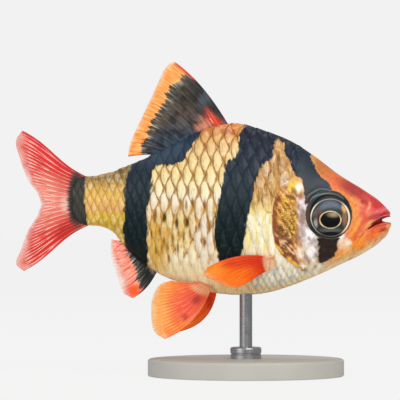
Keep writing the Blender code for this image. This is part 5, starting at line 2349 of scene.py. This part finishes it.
@dataclass(frozen=True)
class SteelFinish:
    """Turned and brushed steel for the stand's rod and collar."""

    colour: Triple = (176, 178, 182)
    gloss: Gloss = Gloss(specular=0.5, metal=1)

    def build(self) -> bpy.types.Material:
        """Makes the material.

        Returns:
            The finish.
        """
        material, bench, shader = new_finish("brushed_steel", self.gloss)
        place = bench.vector("SCALE", bench.node("ShaderNodeTexCoord").outputs["Object"], 1 / MM)
        rings = bench.noise(place, 1, 2, stretch=(0.5, 0.5, 22))
        smudge = bench.noise(place, 0.6, 3)
        colour = bench.mix(rings.ease(0.35, 0.7, 0, 0.5), self.colour, (132, 134, 138))
        bench.feed(shader.inputs["Base Color"], colour)
        bench.feed(shader.inputs["Roughness"], smudge.ease(0.3, 0.7, 0.26, 0.4))
        bench.feed(shader.inputs["Normal"], bench.bump(rings, 0.00003, 0.3))
        return material


@dataclass(frozen=True)
class Stand:
    """The display stand: a turned disc, a collar and a rod up into the belly, in millimetres."""

    base_radius: float = 17.0
    base_height: float = 3.0
    base_edge: float = 0.45
    rod_radius: float = 1.1
    rod_place: float = 25.2
    collar_radius: float = 2.7
    collar_top: float = 5.03
    rod_top: float = 14.9
    sides: int = 128

    def turned(self, name: str, centre: float, profile: Knots, sides: int) -> bpy.types.Object:
        """Spins a profile round an upright axis into a closed piece.

        Args:
            name: The piece's name.
            centre: The axis's place along the model.
            profile: Pairs of radius and height, from the bottom's middle to the top's.
            sides: Steps round the axis.

        Returns:
            The turned piece.
        """
        bm = bmesh.new()
        line = [bm.verts.new((centre * MM + radius * MM, 0.0, height * MM)) for radius, height in profile]
        for start, end in zip(line[:-1], line[1:]):
            bm.edges.new((start, end))
        bmesh.ops.spin(
            bm, geom=bm.verts[:] + bm.edges[:], cent=(centre * MM, 0.0, 0.0), axis=(0.0, 0.0, 1.0),
            dvec=(0.0, 0.0, 0.0), angle=2.0 * math.pi, steps=sides, use_merge=True, use_duplicate=False,
        )
        bmesh.ops.remove_doubles(bm, verts=bm.verts, dist=1e-7)
        bmesh.ops.recalc_face_normals(bm, faces=bm.faces)
        mesh = bpy.data.meshes.new(name)
        bm.to_mesh(mesh)
        bm.free()
        piece = placed(mesh)
        mesh.set_sharp_from_angle(angle=math.radians(40.0))
        return piece

    def round_edge(self, radius: float, height: float, size: float, up: bool) -> list[Pair]:
        """Lists a rounded corner of a profile, on a disc's upper or lower edge."""
        turns = np.linspace(0.0, math.pi / 2, 7)
        if up:
            return [(radius - size + size * math.cos(t), height - size + size * math.sin(t)) for t in turns]
        return [(radius - size + size * math.sin(t), height + size - size * math.cos(t)) for t in turns]

    def build(self) -> list[tuple[bpy.types.Object, str]]:
        """Makes the stand's pieces.

        Returns:
            Each piece with its slot.
        """
        axis = TOTAL_LENGTH / 2 - self.rod_place
        base = self.turned("stand_disc", self.base_axis(), tuple(
            [(0.0, 0.25), (12.0, 0.25), (12.6, 0.0)]
            + self.round_edge(self.base_radius, 0.0, 0.25, False)
            + self.round_edge(self.base_radius, self.base_height, self.base_edge, True)
            + [(12.0, self.base_height), (6.0, self.base_height), (0.0, self.base_height)]
        ), self.sides)
        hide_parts("stand_base")
        inner, outer, foot = self.rod_radius, self.collar_radius, self.base_height - 0.05
        groove = outer - 0.14
        collar = self.turned("stand_ring", axis, tuple(
            [(inner * 0.9, foot), (outer, foot), (outer, 3.7), (groove, 3.78), (groove, 3.95), (outer, 4.03)]
            + self.round_edge(outer, self.collar_top, 0.35, True)
            + [(inner * 1.12, self.collar_top), (inner * 0.9, self.collar_top - 0.15), (inner * 0.9, foot)]
        ), 72)
        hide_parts("stand_collar")
        top = self.rod_top
        shaft = ((0.0, 1.0), (inner, 1.0), (inner, 8.0), (inner, top), (0.0, top))
        rod = self.turned("stand_pin", axis, shaft, 48)
        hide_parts("stand_rod")
        return [(base, "stand_base"), (collar, "stand_rod"), (rod, "stand_rod")]

    def base_axis(self) -> float:
        """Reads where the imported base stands, so that the turned one stands there too."""
        low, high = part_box("stand_base")
        return 0.5 * (low[0] + high[0]) / MM


# Studio


@dataclass(frozen=True)
class Studio:
    """Floor, lights and camera, at the photograph's level side view."""

    distance: float = 0.6
    picture: float = 400.0
    sensor: float = 36.0
    backdrop: Triple = (242, 242, 242)

    def floor(self) -> None:
        """Lays a plain pale floor, level and wide, under the stand."""
        bm = bmesh.new()
        bmesh.ops.create_grid(bm, x_segments=24, y_segments=24, size=2.0)
        mesh = bpy.data.meshes.new("studio_floor")
        bm.to_mesh(mesh)
        bm.free()
        floor = placed(mesh)
        material, bench, shader = new_finish("studio_paper", Gloss(specular=0.0))
        place = bench.node("ShaderNodeTexCoord").outputs["Object"]
        tone = bench.noise(place, 40.0, 2.0)
        bench.feed(shader.inputs["Base Color"], bench.mix(tone, (62, 62, 62), (58, 58, 58)))
        shader.inputs["Roughness"].default_value = 1.0
        shader.inputs["Emission Color"].default_value = paint(*self.backdrop)
        mirrored = bench.node("ShaderNodeLightPath").outputs["Is Glossy Ray"]
        bench.feed(shader.inputs["Emission Strength"], bench.math("MULTIPLY_ADD", mirrored, -0.7, 0.965))
        floor.data.materials.append(material)

    def world(self) -> None:
        """Sets the even surround: its own grey where the camera sees it, and a soft light elsewhere."""
        world = bpy.data.worlds.new("studio_surround")
        world.use_nodes = True
        bpy.context.scene.world = world
        bench = Bench(world.node_tree)
        world.node_tree.nodes.clear()
        seen = bench.node("ShaderNodeBackground")
        seen.inputs["Color"].default_value = paint(*self.backdrop)
        lit = bench.node("ShaderNodeBackground")
        lit.inputs["Color"].default_value = (1.0, 0.98, 0.94, 1.0)
        lit.inputs["Strength"].default_value = 0.42
        mixed = bench.node("ShaderNodeMixShader")
        bench.feed(mixed.inputs[0], bench.node("ShaderNodeLightPath").outputs["Is Camera Ray"])
        bench.feed(mixed.inputs[1], lit.outputs[0])
        bench.feed(mixed.inputs[2], seen.outputs[0])
        bench.feed(bench.node("ShaderNodeOutputWorld").inputs["Surface"], mixed.outputs[0])

    def lamp(self, name: str, place: Triple, size: float, power: float, colour: Triple = (1.0,) * 3) -> None:
        """Hangs a soft square lamp that faces the model.

        Args:
            name: The lamp's name.
            place: Its place in metres.
            size: Its side in metres.
            power: Its power in watts.
            colour: Its light's colour.
        """
        data = bpy.data.lights.new(name, "AREA")
        data.size = size
        data.energy = power
        data.color = colour
        lamp = bpy.data.objects.new(name, data)
        lamp.location = place
        aim = Vector((0.0, 0.0, AXIS_HEIGHT * MM)) - Vector(place)
        lamp.rotation_euler = aim.to_track_quat("-Z", "Y").to_euler()
        bpy.context.scene.collection.objects.link(lamp)

    def camera(self) -> None:
        """Sets the level camera so that the fish fills the picture as the photograph does."""
        width = self.picture * PICTURE_PITCH
        length, height = side_place(self.picture / 2, self.picture / 2)
        data = bpy.data.cameras.new("picture_camera")
        data.sensor_width = self.sensor
        data.lens = self.sensor * self.distance / (width * MM)
        data.clip_start = 0.01
        camera = bpy.data.objects.new("picture_camera", data)
        camera.location = ((TOTAL_LENGTH / 2 - length) * MM, -self.distance, (AXIS_HEIGHT + height) * MM)
        camera.rotation_euler = (math.pi / 2, 0.0, 0.0)
        bpy.context.scene.collection.objects.link(camera)
        bpy.context.scene.camera = camera

    def build(self) -> None:
        """Sets up the whole studio."""
        self.floor()
        self.world()
        self.lamp("key_lamp", (0.2, -0.46, 0.4), 0.4, 2.2, (1.0, 0.96, 0.9))
        self.lamp("fill_lamp", (-0.4, -0.4, 0.15), 0.4, 0.8)
        self.lamp("top_lamp", (0.0, 0.12, 0.5), 0.35, 0.8)
        self.camera()
        bpy.context.scene.view_settings.view_transform = "Standard"


def main() -> None:
    """Builds the fish, its stand and the studio, in order."""
    logging.basicConfig(level=logging.INFO, format="%(name)s %(message)s")
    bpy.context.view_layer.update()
    kit = MarkingKit()
    pattern = BarbPattern(kit).make()
    wear(Skin().build(), SkinFinish(pattern).build())
    scale_finish = ScaleFinish(pattern, kit).build()
    for piece in ScaleCoat().build():
        wear(piece, scale_finish)
    finishes = {name: FinFinish(f"{name}_fin", kit, shades).build() for name, shades in FIN_SHADES.items()}
    for form in FINS:
        wear(form.build(), finishes[form.shades or form.name.split("_")[0]])
    eye_finish = EyeFinish().build()
    for side in Side:
        wear(Eye(side).build(), eye_finish)
    stand_finishes = {"stand_base": BaseFinish().build(), "stand_rod": SteelFinish().build()}
    for piece, slot in Stand().build():
        wear(piece, stand_finishes[slot])
    Studio().build()


if __name__ == "__main__":
    main()
